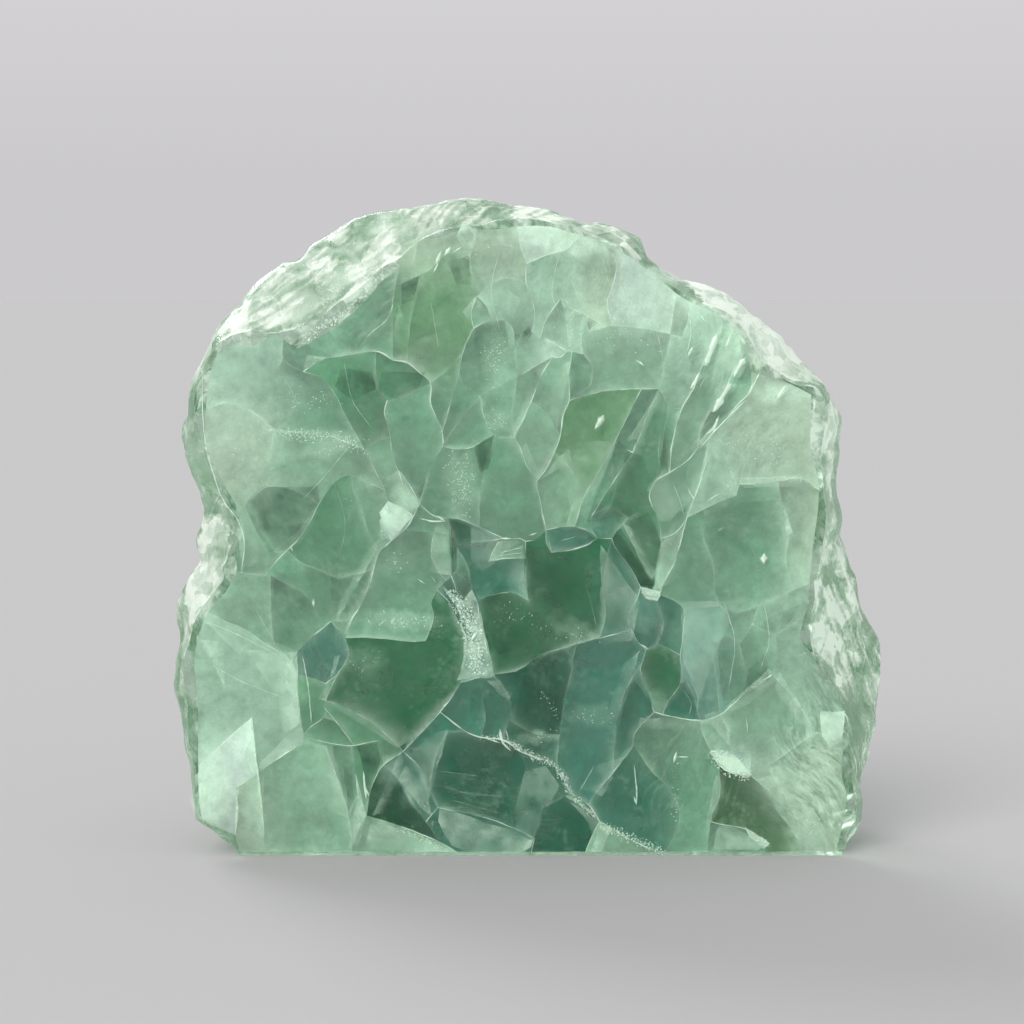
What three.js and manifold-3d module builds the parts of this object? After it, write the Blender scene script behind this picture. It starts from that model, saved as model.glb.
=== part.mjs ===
// Fluorite freeform: one lump of green fluorite, about 125 mm wide. It was broken out of a vein, so its rim,
// flanks and back are rough, then sawn flat underneath so that it stands, and sawn and polished on the front.
// Millimetres, +Z up. The polished face looks along -Y.
import * as THREE from "three";
import { mergeVertices } from "three/addons/utils/BufferGeometryUtils.js";
import Module from "manifold-3d";

const wasm = await Module();
wasm.setup();

const FOOT_DEPTH = 46; // polished face to back, at the sawn foot
const CROWN_DEPTH = 27; // the same at the crown: the lump is a wedge
const CROWN_HEIGHT = 114;
const MIDDLE_HEIGHT = 50; // the loft's sections are drawn around an axis at this height
const SAW_ALLOWANCE = 3; // rough stone in front of the polished face, which the saw takes off
const SHOULDER_SCALE = 0.93; // the back's outline against the girth's
const SHOULDER_PLACE = 0.74; // where it is, as a share of the depth
const SECTION_POINTS = 150;
const FRONT_RINGS = 6; // from the polished face to the girth
const FLANK_RINGS = 7; // from the girth to the shoulder
const BACK_RINGS = 6; // from the shoulder to the middle of the back, all of it broken off again
const BACK_ALLOWANCE = 1.3; // how far the lump goes back before it is broken, as a share of its depth

// The broken surface goes by blocks: inside one the break is flat, and the next one stands higher or leans.
const BLOCKS = 150;
const BLOCK_STEP = 1.1; // how far a block's flat stands in or out
const BLOCK_LEAN = 0.2; // how much it leans, as a slope
const BLOCK_LIMIT = 2.2; // no point wanders further than this

// The polished face's edge, [x, z], clockwise from the foot's left corner as seen from the front.
const POLISHED_EDGE = [
  [-47, -6], [-49, 0], [-50.5, 2], [-54.5, 3.5], [-57.5, 5.5], [-58, 15.5], [-58, 27], [-58.5, 34],
  [-56, 43], [-51.5, 49.5], [-49.5, 56.5], [-53.5, 66], [-56, 74], [-56, 82], [-51.5, 89.5],
  [-43.5, 90.5], [-34, 92], [-27.5, 97.5], [-22.5, 103], [-15.5, 108.5], [-5, 109.5], [2.5, 110],
  [13, 107.5], [20.5, 103.5], [30, 96.5], [34.5, 94.5], [39.5, 87], [45.5, 83], [50.5, 81],
  [50.5, 71.5], [51.5, 62.5], [50.5, 53.5], [49.5, 43], [49, 38], [52.5, 31.5], [56, 24],
  [56.5, 14], [57.5, 9], [55.5, 3], [54.5, -6],
];

// The girth, the widest outline of the rough lump, [x, z, how far it lies behind the polished face].
const GIRTH = [
  [-47, -6, 4], [-50.5, 0.5, 2], [-55, 3, 2], [-58.5, 4.5, 3], [-59, 9, 4], [-59.5, 15, 5],
  [-60, 24, 6], [-61.5, 32.5, 7],
  [-60.5, 38, 7], [-61, 44, 7], [-59, 50, 6], [-58.5, 55, 6], [-57, 61, 6], [-60, 67, 7], [-61, 71.5, 7],
  [-58.5, 79, 6], [-58, 82.5, 6], [-56, 87, 8], [-50, 97, 10], [-41, 105, 10], [-30, 111.5, 9],
  [-22, 113, 8], [-12, 114.5, 8], [-3, 114, 8], [8, 112, 8], [17, 108.5, 8],
  [20.5, 106.5, 8], [21.5, 104, 8],
  [28.5, 101, 8], [36, 98.5, 9], [43, 94, 10], [49, 88.5, 10], [54.5, 82, 11], [56, 74, 12],
  [54.5, 64, 12], [55.5, 59.5, 13], [58.5, 51, 15], [60.5, 40.5, 18], [63.5, 34, 20], [63.5, 26, 20],
  [62, 17, 18], [61.5, 10.5, 17], [62, 4.5, 15], [57.5, 0.5, 11], [55, -6, 10],
];

// Flat breaks that make up the back, each a plane: a point on it and its outward direction.
const BREAKS = [
  { point: [-16, 45, 22], outward: [-0.12, 0.98, -0.06] },
  { point: [20, 46, 24], outward: [0.16, 0.98, 0.02] },
  { point: [-8, 42, 52], outward: [-0.06, 0.95, 0.28] },
  { point: [26, 39, 58], outward: [0.3, 0.93, 0.2] },
  { point: [-32, 37, 56], outward: [-0.42, 0.88, 0.2] },
  { point: [2, 33, 88], outward: [0.02, 0.9, 0.42] },
  { point: [-30, 29, 88], outward: [-0.46, 0.76, 0.44] },
  { point: [30, 29, 84], outward: [0.5, 0.74, 0.42] },
  { point: [-46, 33, 22], outward: [-0.72, 0.68, -0.1] },
  { point: [50, 32, 30], outward: [0.66, 0.74, 0.08] },
  { point: [54, 33, 8], outward: [0.68, 0.58, -0.42] },
  { point: [0, 20, 111], outward: [0.02, 0.55, 0.83] },
];

// Corners that broke off the back in steps: the step's inner corner, and how the step is turned about Y.
// A step that isn't turned takes off what is right of its corner and above it.
const STEPS = [
  { corner: [12, 37, 62], turned: 0.3 },
  { corner: [-14, 41.5, 33], turned: 3.5 },
  { corner: [30, 37, 38], turned: 1.3 },
  { corner: [-20, 31, 84], turned: -1.2 },
];
const STEP_SIZE = 120;
const STEP_LEAN = 0.12; // radians, how far the step's floor leans from the back

// Shallow shell-shaped scars over the back and the flanks, each a small part of a large ball.
const SCARS = 14;
const SCAR_RADII = [18, 36];
const SCAR_DEPTH = [0.6, 1.6];

// Repeatable random numbers from 0 to 1.
function seeded(seed) {
  let state = seed;
  return () => {
    state = (state + 0x6d2b79f5) | 0;
    let t = Math.imul(state ^ (state >>> 15), 1 | state);
    t = (t + Math.imul(t ^ (t >>> 7), 61 | t)) ^ t;
    return ((t ^ (t >>> 14)) >>> 0) / 4294967296;
  };
}

// A smooth closed outline's radius around the loft's axis at any angle, with the depth carried along.
function outlineByAngle(points) {
  const curve = new THREE.CatmullRomCurve3(
    points.map(([x, z, depth = 0]) => new THREE.Vector3(x, z - MIDDLE_HEIGHT, depth)),
    true,
    "centripetal",
  );
  const samples = curve
    .getPoints(points.length * 8)
    .slice(1)
    .map((p) => ({ angle: Math.atan2(p.y, p.x), radius: Math.hypot(p.x, p.y), depth: p.z }))
    .sort((a, b) => a.angle - b.angle);
  const first = samples[0];
  const last = samples[samples.length - 1];
  samples.unshift({ ...last, angle: last.angle - 2 * Math.PI });
  samples.push({ ...first, angle: first.angle + 2 * Math.PI });
  return (angle) => {
    const next = Math.max(1, samples.findIndex((s) => s.angle > angle));
    const [a, b] = [samples[next - 1], samples[next]];
    const t = (angle - a.angle) / (b.angle - a.angle || 1);
    return {
      radius: THREE.MathUtils.lerp(a.radius, b.radius, t),
      depth: THREE.MathUtils.lerp(a.depth, b.depth, t),
    };
  };
}

const polishedAt = outlineByAngle(POLISHED_EDGE);
const girthAt = outlineByAngle(GIRTH);

// The lump's depth at a height: it tapers from the foot to the crown.
function depthAt(height) {
  const share = THREE.MathUtils.clamp(height / CROWN_HEIGHT, 0, 1);
  return THREE.MathUtils.lerp(FOOT_DEPTH, CROWN_DEPTH, share);
}

// The blocks: where each one is, how far it stands out, and which way it leans.
const blockRandom = seeded(41);
const blocks = Array.from({ length: BLOCKS }, () => ({
  middle: new THREE.Vector3(
    THREE.MathUtils.lerp(-64, 66, blockRandom()),
    THREE.MathUtils.lerp(-2, FOOT_DEPTH + 4, blockRandom()),
    THREE.MathUtils.lerp(-6, CROWN_HEIGHT + 4, blockRandom()),
  ),
  step: BLOCK_STEP * (2 * blockRandom() - 1),
  lean: new THREE.Vector3(blockRandom() - 0.5, blockRandom() - 0.5, blockRandom() - 0.5).multiplyScalar(
    2 * BLOCK_LEAN,
  ),
}));

// How far the broken surface stands out at a point: it follows the flat of the nearest block.
function breakHeight(point) {
  let nearest = blocks[0];
  for (const block of blocks) {
    if (block.middle.distanceToSquared(point) < nearest.middle.distanceToSquared(point)) {
      nearest = block;
    }
  }
  const height = nearest.step + nearest.lean.dot(point.clone().sub(nearest.middle));
  return THREE.MathUtils.clamp(height, -BLOCK_LIMIT, BLOCK_LIMIT);
}

// One point of the lump: the angle around the axis, and the ring, counted from the front.
const LAST_RING = FRONT_RINGS + FLANK_RINGS + BACK_RINGS;
function lumpPoint(angle, ring) {
  const polished = polishedAt(angle);
  const girth = girthAt(angle);
  const [c, s] = [Math.cos(angle), Math.sin(angle)];
  const full = depthAt(MIDDLE_HEIGHT + girth.radius * s);
  const girthDepth = Math.min(girth.depth, 0.5 * full);
  let radius;
  let y;
  let facesBack = 0; // 0 where the surface faces sideways, 1 where it faces back
  let calm = 1; // how much of the blocks shows
  if (ring <= FRONT_RINGS) {
    // The rim swells from in front of the polished face to the girth. It passes the face at its edge.
    const t = ring / FRONT_RINGS;
    y = THREE.MathUtils.lerp(-SAW_ALLOWANCE, girthDepth, t);
    const along = Math.max(y, 0) / girthDepth;
    const swell = girth.radius - polished.radius;
    radius = polished.radius + swell * Math.sin((along * Math.PI) / 2) + 0.3 * Math.min(y, 0);
    calm = 0.35;
  } else if (ring <= FRONT_RINGS + FLANK_RINGS) {
    const t = (ring - FRONT_RINGS) / FLANK_RINGS;
    y = THREE.MathUtils.lerp(girthDepth, SHOULDER_PLACE * full, t);
    radius = girth.radius * THREE.MathUtils.lerp(1, SHOULDER_SCALE, t * t);
    calm = THREE.MathUtils.lerp(0.35, 1, Math.min(1, 2 * t));
  } else {
    const t = (ring - FRONT_RINGS - FLANK_RINGS) / BACK_RINGS;
    facesBack = Math.sqrt(1 - (1 - t) * (1 - t));
    radius = girth.radius * SHOULDER_SCALE * Math.pow(1 - t, 0.8);
    const backHere = BACK_ALLOWANCE * depthAt(MIDDLE_HEIGHT + radius * s);
    y = THREE.MathUtils.lerp(SHOULDER_PLACE * full, backHere, facesBack);
  }
  const height = calm * breakHeight(new THREE.Vector3(radius * c, y, MIDDLE_HEIGHT + radius * s));
  y += facesBack * height;
  radius = Math.max(0, radius + (1 - facesBack) * height);
  return new THREE.Vector3(radius * c, y, MIDDLE_HEIGHT + radius * s);
}

// The lump before sawing: rings of points from a front cap to a single point at the middle of the back.
function lumpGeometry() {
  const positions = [];
  const indices = [];
  for (let ring = 0; ring < LAST_RING; ring += 1) {
    for (let i = 0; i < SECTION_POINTS; i += 1) {
      const angle = -Math.PI + (2 * Math.PI * (i + 0.5)) / SECTION_POINTS;
      positions.push(...lumpPoint(angle, ring));
    }
  }
  const front = positions.length / 3;
  positions.push(0, -SAW_ALLOWANCE, MIDDLE_HEIGHT);
  const back = front + 1;
  positions.push(0, BACK_ALLOWANCE * depthAt(MIDDLE_HEIGHT), MIDDLE_HEIGHT);
  const lastStart = (LAST_RING - 1) * SECTION_POINTS;
  for (let i = 0; i < SECTION_POINTS; i += 1) {
    const j = (i + 1) % SECTION_POINTS;
    indices.push(front, i, j);
    indices.push(back, lastStart + j, lastStart + i);
    for (let ring = 0; ring < LAST_RING - 1; ring += 1) {
      const [a, b] = [ring * SECTION_POINTS + i, ring * SECTION_POINTS + j];
      const [c, d] = [a + SECTION_POINTS, b + SECTION_POINTS];
      indices.push(a, c, b, b, c, d);
    }
  }
  const geometry = new THREE.BufferGeometry();
  geometry.setAttribute("position", new THREE.Float32BufferAttribute(positions, 3));
  geometry.setIndex(indices);
  return geometry;
}

// A closed geometry as a solid that can be cut.
function solid(geometry) {
  const bare = geometry.clone();
  bare.deleteAttribute("normal");
  bare.deleteAttribute("uv");
  const merged = mergeVertices(bare, 1e-3);
  return new wasm.Manifold(
    new wasm.Mesh({
      numProp: 3,
      vertProperties: merged.attributes.position.array,
      triVerts: new Uint32Array(merged.index.array),
    }),
  );
}

// A block with one face through a point, which takes off everything on its outward side.
const BLOCK = 300;
function blockBeyond(point, outward) {
  const block = new THREE.BoxGeometry(BLOCK, BLOCK, BLOCK);
  block.translate(0, BLOCK / 2, 0);
  const direction = new THREE.Vector3(...outward).normalize();
  block.applyQuaternion(new THREE.Quaternion().setFromUnitVectors(new THREE.Vector3(0, 1, 0), direction));
  block.translate(...point);
  return solid(block);
}

// A block whose corner is the corner of a step. It leans, so that the step's floor isn't parallel to the back.
function stepBlock({ corner, turned }) {
  const block = new THREE.BoxGeometry(STEP_SIZE, STEP_SIZE, STEP_SIZE);
  block.translate(STEP_SIZE / 2, STEP_SIZE / 2, STEP_SIZE / 2);
  block.rotateX(STEP_LEAN);
  block.rotateZ(-STEP_LEAN);
  block.rotateY(turned);
  block.translate(...corner);
  return solid(block);
}

// A large ball that dips a little way into the lump at an angle and a ring.
function scar(random) {
  const angle = -Math.PI + 2 * Math.PI * random();
  const ring = FRONT_RINGS + 2 + Math.floor((LAST_RING - FRONT_RINGS - 4) * random());
  const at = lumpPoint(angle, ring);
  const around = lumpPoint(angle + 0.1, ring).sub(at);
  const back = lumpPoint(angle, ring + 1).sub(at);
  const outward = back.cross(around).normalize();
  const radius = THREE.MathUtils.lerp(...SCAR_RADII, random());
  const depth = THREE.MathUtils.lerp(...SCAR_DEPTH, random());
  const ball = new THREE.SphereGeometry(radius, 40, 28);
  ball.rotateX(Math.PI * random());
  at.addScaledVector(outward, radius - depth);
  ball.translate(at.x, at.y, at.z);
  return solid(ball);
}

function stoneGeometry() {
  const random = seeded(29);
  let stone = solid(lumpGeometry());
  for (const { point, outward } of BREAKS) {
    stone = stone.subtract(blockBeyond(point, outward));
  }
  for (const step of STEPS) {
    stone = stone.subtract(stepBlock(step));
  }
  for (let i = 0; i < SCARS; i += 1) {
    stone = stone.subtract(scar(random));
  }
  stone = stone.subtract(blockBeyond([0, 0, 0], [0, -1, 0])); // the polished face
  stone = stone.subtract(blockBeyond([0, 0, 0], [0, 0, -1])); // the sawn foot
  const { vertProperties, triVerts } = stone.getMesh();
  const geometry = new THREE.BufferGeometry();
  geometry.setAttribute("position", new THREE.BufferAttribute(vertProperties, 3));
  geometry.setIndex(new THREE.BufferAttribute(triVerts, 1));
  // The origin is the middle of the stone's box, at the level of the foot.
  geometry.computeBoundingBox();
  const middle = geometry.boundingBox.getCenter(new THREE.Vector3());
  geometry.translate(-middle.x, -middle.y, 0);
  const faceted = geometry.toNonIndexed();
  faceted.computeVertexNormals();
  return faceted;
}

const fluorite = new THREE.MeshStandardMaterial({
  name: "green fluorite",
  color: 0x7fb394,
  roughness: 0.2,
  metalness: 0,
});

const stone = new THREE.Mesh(stoneGeometry(), fluorite);
stone.name = "fluorite_stone";

const freeform = new THREE.Group();
freeform.add(stone);

export default freeform;
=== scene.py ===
import math
import random

import bmesh
import bpy
import numpy as np
from mathutils import Matrix, Vector, geometry, noise


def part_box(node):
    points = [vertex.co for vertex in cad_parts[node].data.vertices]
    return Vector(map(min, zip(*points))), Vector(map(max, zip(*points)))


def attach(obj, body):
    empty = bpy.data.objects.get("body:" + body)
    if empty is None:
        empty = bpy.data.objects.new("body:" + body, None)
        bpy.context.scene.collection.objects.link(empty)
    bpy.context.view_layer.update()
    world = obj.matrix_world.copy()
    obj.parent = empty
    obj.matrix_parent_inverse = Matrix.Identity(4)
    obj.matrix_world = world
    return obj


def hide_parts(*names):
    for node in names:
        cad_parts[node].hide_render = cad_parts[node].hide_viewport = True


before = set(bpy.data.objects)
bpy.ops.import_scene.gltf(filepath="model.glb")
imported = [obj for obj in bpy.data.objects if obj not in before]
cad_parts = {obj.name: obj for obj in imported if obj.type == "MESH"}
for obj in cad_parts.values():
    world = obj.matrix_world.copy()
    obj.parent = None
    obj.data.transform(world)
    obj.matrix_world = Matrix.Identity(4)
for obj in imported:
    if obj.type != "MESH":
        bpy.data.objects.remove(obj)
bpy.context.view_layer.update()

MM = 0.001  # the tables below are in millimetres, and the scene is in metres

# ---- The stone ------------------------------------------------------------------------------------------
# A lump of natural green fluorite, grown as one mass of locked grains. One side is sawn flat and polished
# like glass, the foot is sawn so that it stands by itself, and all the rest is left as it broke.
STONE = "fluorite_stone"
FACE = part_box(STONE)[0][1]  # where the polished face lies, along Y
VOXEL = 0.64 * MM  # grid that carries the broken surface
SAW_ALLOWANCE = 2.0 * MM  # left on the rough lump, for the saw to take off
SAME = 0.01 * MM  # nearer than this to a saw cut, a place lies on it
WELD = 0.001 * MM  # corners nearer than this to each other are one
noise.seed_set(8)  # the same break and the same grains each time


def mesh_object(name, mesh):
    """A mesh put into the scene."""
    made = bpy.data.objects.new(name, mesh)
    bpy.context.scene.collection.objects.link(made)
    return made


def rough_lump():
    """The drawn lump with nothing sawn off yet, on an even grid fine enough to carry its broken surface."""
    lump = bmesh.new()
    lump.from_mesh(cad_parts[STONE].data)
    bmesh.ops.remove_doubles(lump, verts=lump.verts, dist=WELD)
    for corner in lump.verts:
        if corner.co.y < FACE + SAME:
            corner.co.y -= SAW_ALLOWANCE
        if corner.co.z < SAME:
            corner.co.z -= SAW_ALLOWANCE
    mesh = bpy.data.meshes.new("lump")
    lump.to_mesh(mesh)
    lump.free()
    made = mesh_object("lump", mesh)
    grid = made.modifiers.new("even grid", "REMESH")
    grid.mode = "VOXEL"
    grid.voxel_size = VOXEL
    even = bpy.data.meshes.new_from_object(made.evaluated_get(bpy.context.evaluated_depsgraph_get()))
    bpy.data.objects.remove(made)
    return even


# The blocks that the stone broke along, large to small: [size mm, step mm, how steep].
BLOCKS = [(16.0, 0.4, 0.3), (7.0, 0.15, 0.24), (3.0, 0.03, 0.1)]
BLOCK_EDGE = 0.06  # of a block's size, how far two blocks run into each other
BLOCK_WAVES = [(6.0, 0.5)]  # [size mm, how far mm] of the waves in the blocks' edges
TILT_DRAW, STEP_DRAW = 11.0, 37.0  # spread the blocks apart, so that neighbours lean and stand unlike
GRAINY, GRAINY_SIZE = 0.07, 1.6  # mm, height and size of the finest unevenness
CALM_DEPTH = 33.0  # mm behind the face; nearer than this the break runs out smoothly
CALM = 0.18  # how much of its height the break keeps at the face
MOST = 1.8  # mm, how far any place stands in or out
# Where the break is drawn out in steps: [x, z, half width, half height, the way across them, the height of a
# step and the space from one to the next], in mm.
STEPPED = [(57, 40, 9, 20, (0.7, 0.15, 0.7), 0.3, 1.8), (54, 62, 5, 12, (0.9, 0.2, 0.4), 0.3, 1.8),
           (-30, 25, 20, 20, (0.2, 0.3, 0.9), 0.35, 2.8), (15, 75, 22, 22, (0.6, -0.3, 0.7), 0.35, 2.6),
           (-36, 102, 22, 16, (-0.75, 0.3, 0.6), 0.55, 2.6), (60, 18, 9, 20, (0.8, 0.1, -0.6), 0.25, 1.2)]
STEP_WAVES = [(9.0, 2.2), (2.0, 0.4)]  # [size mm, how far mm] of the waves in the steps' edges
STEP_TREAD, STEP_FALL = 0.8, 4.0  # the share of a step that rises, and how much more steeply the rest falls


def wandering(place, waves):
    """A place moved about smoothly, so that straight edges turn into natural ones."""
    moved = place
    for size, far in waves:
        moved = moved + far * noise.noise_vector(place / size)
    return moved


def patchy(at, size, middle, swing, most=1.0):
    """A share that comes and goes from place to place, from 0 to most."""
    return min(most, max(0.0, middle + swing * noise.noise(at / size)))


def block_height(place, middle, size, step, steep):
    """How far a place on one block stands out: the block's own step, and its lean."""
    tilt = Vector(noise.noise_vector(middle * TILT_DRAW)).normalized()
    return step * (noise.cell(middle * STEP_DRAW) - 0.5) + steep * tilt.dot(place - middle * size)


def step_height(place):
    """The saw-tooth of the steps at a place: a gentle rise, then a sharp fall."""
    height = 0.0
    for x, z, wide, tall, across, high, space in STEPPED:
        reach = math.hypot((place.x - x) / wide, (place.z - z) / tall)
        if reach < 1.0:
            run = Vector(across).normalized().dot(wandering(place, STEP_WAVES)) / space
            strength = patchy(place, 5.0, 0.4, 1.6) * min(1.0, (1.0 - reach) * 3.0)
            rest = run - math.floor(run)
            rise = rest if rest < STEP_TREAD else STEP_FALL * (1.0 - rest)
            height += high * strength * (rise - 0.5)
    return height


def break_height(place):
    """How far the broken surface stands out from the drawn one at a place, both in mm."""
    height = 0.0
    bent = wandering(place, BLOCK_WAVES)
    for size, step, steep in BLOCKS:
        away, middles = noise.voronoi(bent / size)
        shares = [math.exp((away[0] - one) / BLOCK_EDGE) for one in away]
        height += sum(share * block_height(bent, middle, size, step, steep)
                      for share, middle in zip(shares, middles)) / sum(shares)
    height += GRAINY * noise.fractal(place / GRAINY_SIZE, 1.0, 2.0, 3) + step_height(place)
    calm = CALM + (1.0 - CALM) * min(1.0, max(0.0, (place.y - FACE / MM) / CALM_DEPTH))
    return max(-MOST, min(MOST, height * calm))


ON_THE_CUT = 1e-7  # metres; corners this near a saw cut lie on it


def sawn(stone, point, outward):
    """Saws off what stands out past a plane, and closes the cut with a flat face."""
    bmesh.ops.bisect_plane(stone, geom=list(stone.verts) + list(stone.edges) + list(stone.faces),
                           dist=ON_THE_CUT, plane_co=point, plane_no=outward, clear_outer=True)
    rim = [edge for edge in stone.edges if edge.is_boundary]
    bmesh.ops.triangle_fill(stone, edges=rim, use_beauty=True, use_dissolve=False, normal=outward)


# Patches of the broken surface that are bruised white, or clear where the number is small, as they show from
# the polished side: [how white from 0 to 1, outline as (x, z) in mm].
WHITE_PATCHES = [
    (0.95, [(-57.5, 58.5), (-58, 55), (-59, 51.5), (-60.5, 47), (-60.5, 43.5), (-59.5, 39.5), (-56.5, 43.5),
        (-53.5, 47), (-52, 50), (-52, 55), (-53, 59), (-56.5, 60)]),
    (0.95, [(-25, 110.5), (-23, 108.5), (-22.5, 105), (-24.5, 102.5), (-27.5, 101.5), (-31.5, 95.5),
        (-33.5, 96), (-30.5, 100), (-32.5, 104), (-35.5, 102), (-39.5, 99), (-38.5, 104), (-34.5, 105),
        (-30.5, 104), (-27.5, 106.5), (-26, 109)]),
    (0.6, [(-34.5, 104), (-41, 104), (-46, 100), (-48, 97.5), (-46, 91.5), (-42, 94), (-39.5, 97.5),
        (-36.5, 100)]),
    (0.85, [(-49.5, 97.5), (-52, 94), (-51, 91), (-47.5, 91), (-49, 94)]),
    (0.02, [(-31, 111), (-27, 111), (-25.5, 109.5), (-27.5, 107), (-31.5, 108.5)]),
    (0.1, [(-33.5, 109.5), (-31.5, 112), (-22, 113.5), (-22, 110), (-25, 110.5), (-31, 110.5)]),
    (0.5, [(-22, 113), (-12.5, 115), (-8, 115), (-5, 110.5), (-9, 110), (-12, 110.5), (-15.5, 108.5),
        (-18, 108.5), (-22, 112)]),
    (0.9, [(-18, 114), (-15, 114.5), (-16, 110), (-18, 108.5)]),
    (0.2, [(-8.5, 114.5), (-3, 114), (-3, 110.5), (-5.5, 110.5)]),
    (0.8, [(-3, 114.5), (7, 112.5), (16, 109.5), (20.5, 104.5), (17.5, 104), (12.5, 107.5), (5.5, 106),
        (2, 105), (-0.5, 106.5), (-2.5, 110)]),
    (1, [(28, 102), (34.5, 99.5), (41.5, 95.5), (48, 90), (53, 83.5), (53, 82.5), (49.5, 83), (45, 83.5),
        (42.5, 85), (39, 85.5), (38, 90.5), (33.5, 95), (29.5, 97)]),
    (0.75, [(50.5, 82), (54, 82), (54.5, 75), (53.5, 66.5), (53, 63), (51, 62.5), (50, 66), (50.5, 73)]),
    (0.55, [(51, 62.5), (53.5, 62.5), (56.5, 53), (56.5, 49.5), (53.5, 48.5), (50.5, 52), (50, 57.5)]),
    (0.95, [(49.5, 49.5), (51, 49), (50.5, 42.5), (48.5, 43.5)]),
    (0.95, [(47.5, 40), (51.5, 41), (54.5, 38), (54, 33), (55.5, 29.5), (52.5, 29.5), (50.5, 33)]),
    (0.65, [(52.5, 48.5), (57, 48), (60.5, 36.5), (59.5, 31), (56, 33), (54.5, 38), (51.5, 41.5)]),
    (0.05, [(56, 29.5), (60.5, 33), (60, 20.5), (59.5, 14), (60.5, 8), (55.5, 5), (56.5, 13.5),
        (55.5, 19.5)]),
    (0.9, [(51, 25.5), (55.5, 25.5), (55.5, 20.5), (53, 19), (51.5, 21.5)]),
    (0.55, [(47.5, 19.5), (53.5, 18.5), (56.5, 11.5), (55, 2.5), (50.5, 2.5), (47.5, 10)]),
]
FROST_EVERYWHERE = 0.33  # how white the break is outside the patches
FROST_DEPTH = 30.0  # mm behind the face, where the patches named above have run out
FROST_SIZES = ((16.0, 0.35), (5.0, 0.3))  # [mm, how much] of the unevenness of the frosting
FROST_WAVES, PATCH_WAVES, STREAK_WAVES = [(2.5, 1.5)], [(2.2, 1.2)], [(8.0, 1.6)]  # [size mm, how far mm]
# Where the break is streaked, in mm: [x, z, half width, half height, the way the streaks run in degrees,
# how strong].
STREAKED = [(60, 30, 11, 36, -56, 0.7), (-36, 100, 22, 15, 35, 0.5), (0, 116, 30, 9, 70, 0.5)]
STREAK_LENGTH, STREAK_WIDTH = 8.0, 1.3  # mm
CREST_WHITE = 2.8  # how much whiter a place gets for each mm that it stands out from its neighbours


def inside(point, outline):
    """Whether a point lies inside an outline: a ray from it crosses an odd number of sides."""
    crossed = False
    for a, b in zip(outline, outline[1:] + outline[:1]):
        if (a[1] > point[1]) != (b[1] > point[1]) and \
                point[0] < (b[0] - a[0]) * (point[1] - a[1]) / (b[1] - a[1]) + a[0]:
            crossed = not crossed
    return crossed


def frost_at(place):
    """How white a place on the broken surface is, from 0 to 1; the place is in mm."""
    white = FROST_EVERYWHERE
    behind = (place.y - FACE / MM) / FROST_DEPTH
    if behind < 1.0:
        ragged = wandering(place, PATCH_WAVES)
        for strength, outline in WHITE_PATCHES:
            if inside((ragged.x, ragged.z), outline):
                white += (strength - white) * min(1.0, 2.0 - 2.0 * behind)
    bent = wandering(place, STREAK_WAVES)
    for x, z, wide, tall, turned, strong in STREAKED:
        share = 1.0 - ((place.x - x) / wide) ** 2 - ((place.z - z) / tall) ** 2
        if share > 0:
            angle = math.radians(turned)
            along = Vector((math.cos(angle), 0, math.sin(angle)))
            across = Vector((-math.sin(angle), 0.5, math.cos(angle)))
            drawn_out = Vector((bent.dot(along) / STREAK_LENGTH, turned, bent.dot(across) / STREAK_WIDTH))
            white += strong * min(1.0, 2.0 * share) * noise.fractal(drawn_out, 0.8, 2.0, 4)
    warped = wandering(place, FROST_WAVES)
    return white + sum(much * noise.fractal(warped / size, 0.8, 2.0, 4) for size, much in FROST_SIZES)


def stands_out(mesh, places, outward):
    """How far each corner stands out from the mean of its neighbours."""
    edges = np.empty(len(mesh.edges) * 2, dtype=np.int32)
    mesh.edges.foreach_get("vertices", edges)
    edges = edges.reshape(-1, 2)
    total, count = np.zeros_like(places), np.zeros(len(places))
    for one, other in ((0, 1), (1, 0)):
        np.add.at(total, edges[:, one], places[edges[:, other]])
        np.add.at(count, edges[:, one], 1)
    return ((places - total / count[:, None]) * outward).sum(axis=1)


POLISHED, SAWN = 1.0, 0.5  # what the finish attribute says; a broken side has 0
FLAT = 0.99  # how squarely a side has to look out of a saw cut to belong to it
SHARP = math.radians(40)  # where two sides meet more sharply than this, the edge catches the light


def stone_mesh():
    """The finished stone: broken all round, then sawn in front and underneath."""
    mesh = rough_lump()
    places = np.empty(len(mesh.vertices) * 3)
    mesh.vertices.foreach_get("co", places)
    outward = np.empty(len(mesh.vertices) * 3)
    mesh.vertices.foreach_get("normal", outward)
    places, outward = places.reshape(-1, 3), outward.reshape(-1, 3)
    heights = np.array([break_height(Vector(at) / MM) for at in places])
    places += outward * heights[:, None] * MM
    mesh.vertices.foreach_set("co", places.ravel())
    crest = stands_out(mesh, places, outward) / MM
    whiteness = mesh.attributes.new("frost", "FLOAT", "POINT")
    white = np.array([frost_at(Vector(at) / MM) for at in places])
    whiteness.data.foreach_set("value", np.clip(white + CREST_WHITE * crest, 0.0, 1.0))
    stone = bmesh.new()
    stone.from_mesh(mesh)
    sawn(stone, Vector((0, FACE, 0)), Vector((0, -1, 0)))
    sawn(stone, Vector((0, 0, 0)), Vector((0, 0, -1)))
    bmesh.ops.recalc_face_normals(stone, faces=stone.faces)
    finish = stone.faces.layers.float.new("finish")
    for side in stone.faces:
        middle = side.calc_center_median()
        side.smooth = True
        if abs(middle.y - FACE) < SAME and abs(side.normal.y) > FLAT:
            side[finish] = POLISHED
        elif abs(middle.z) < SAME and abs(side.normal.z) > FLAT:
            side[finish] = SAWN
    mesh = bpy.data.meshes.new("fluorite")
    stone.to_mesh(mesh)
    stone.free()
    mesh.set_sharp_from_angle(angle=SHARP)
    return mesh


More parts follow.
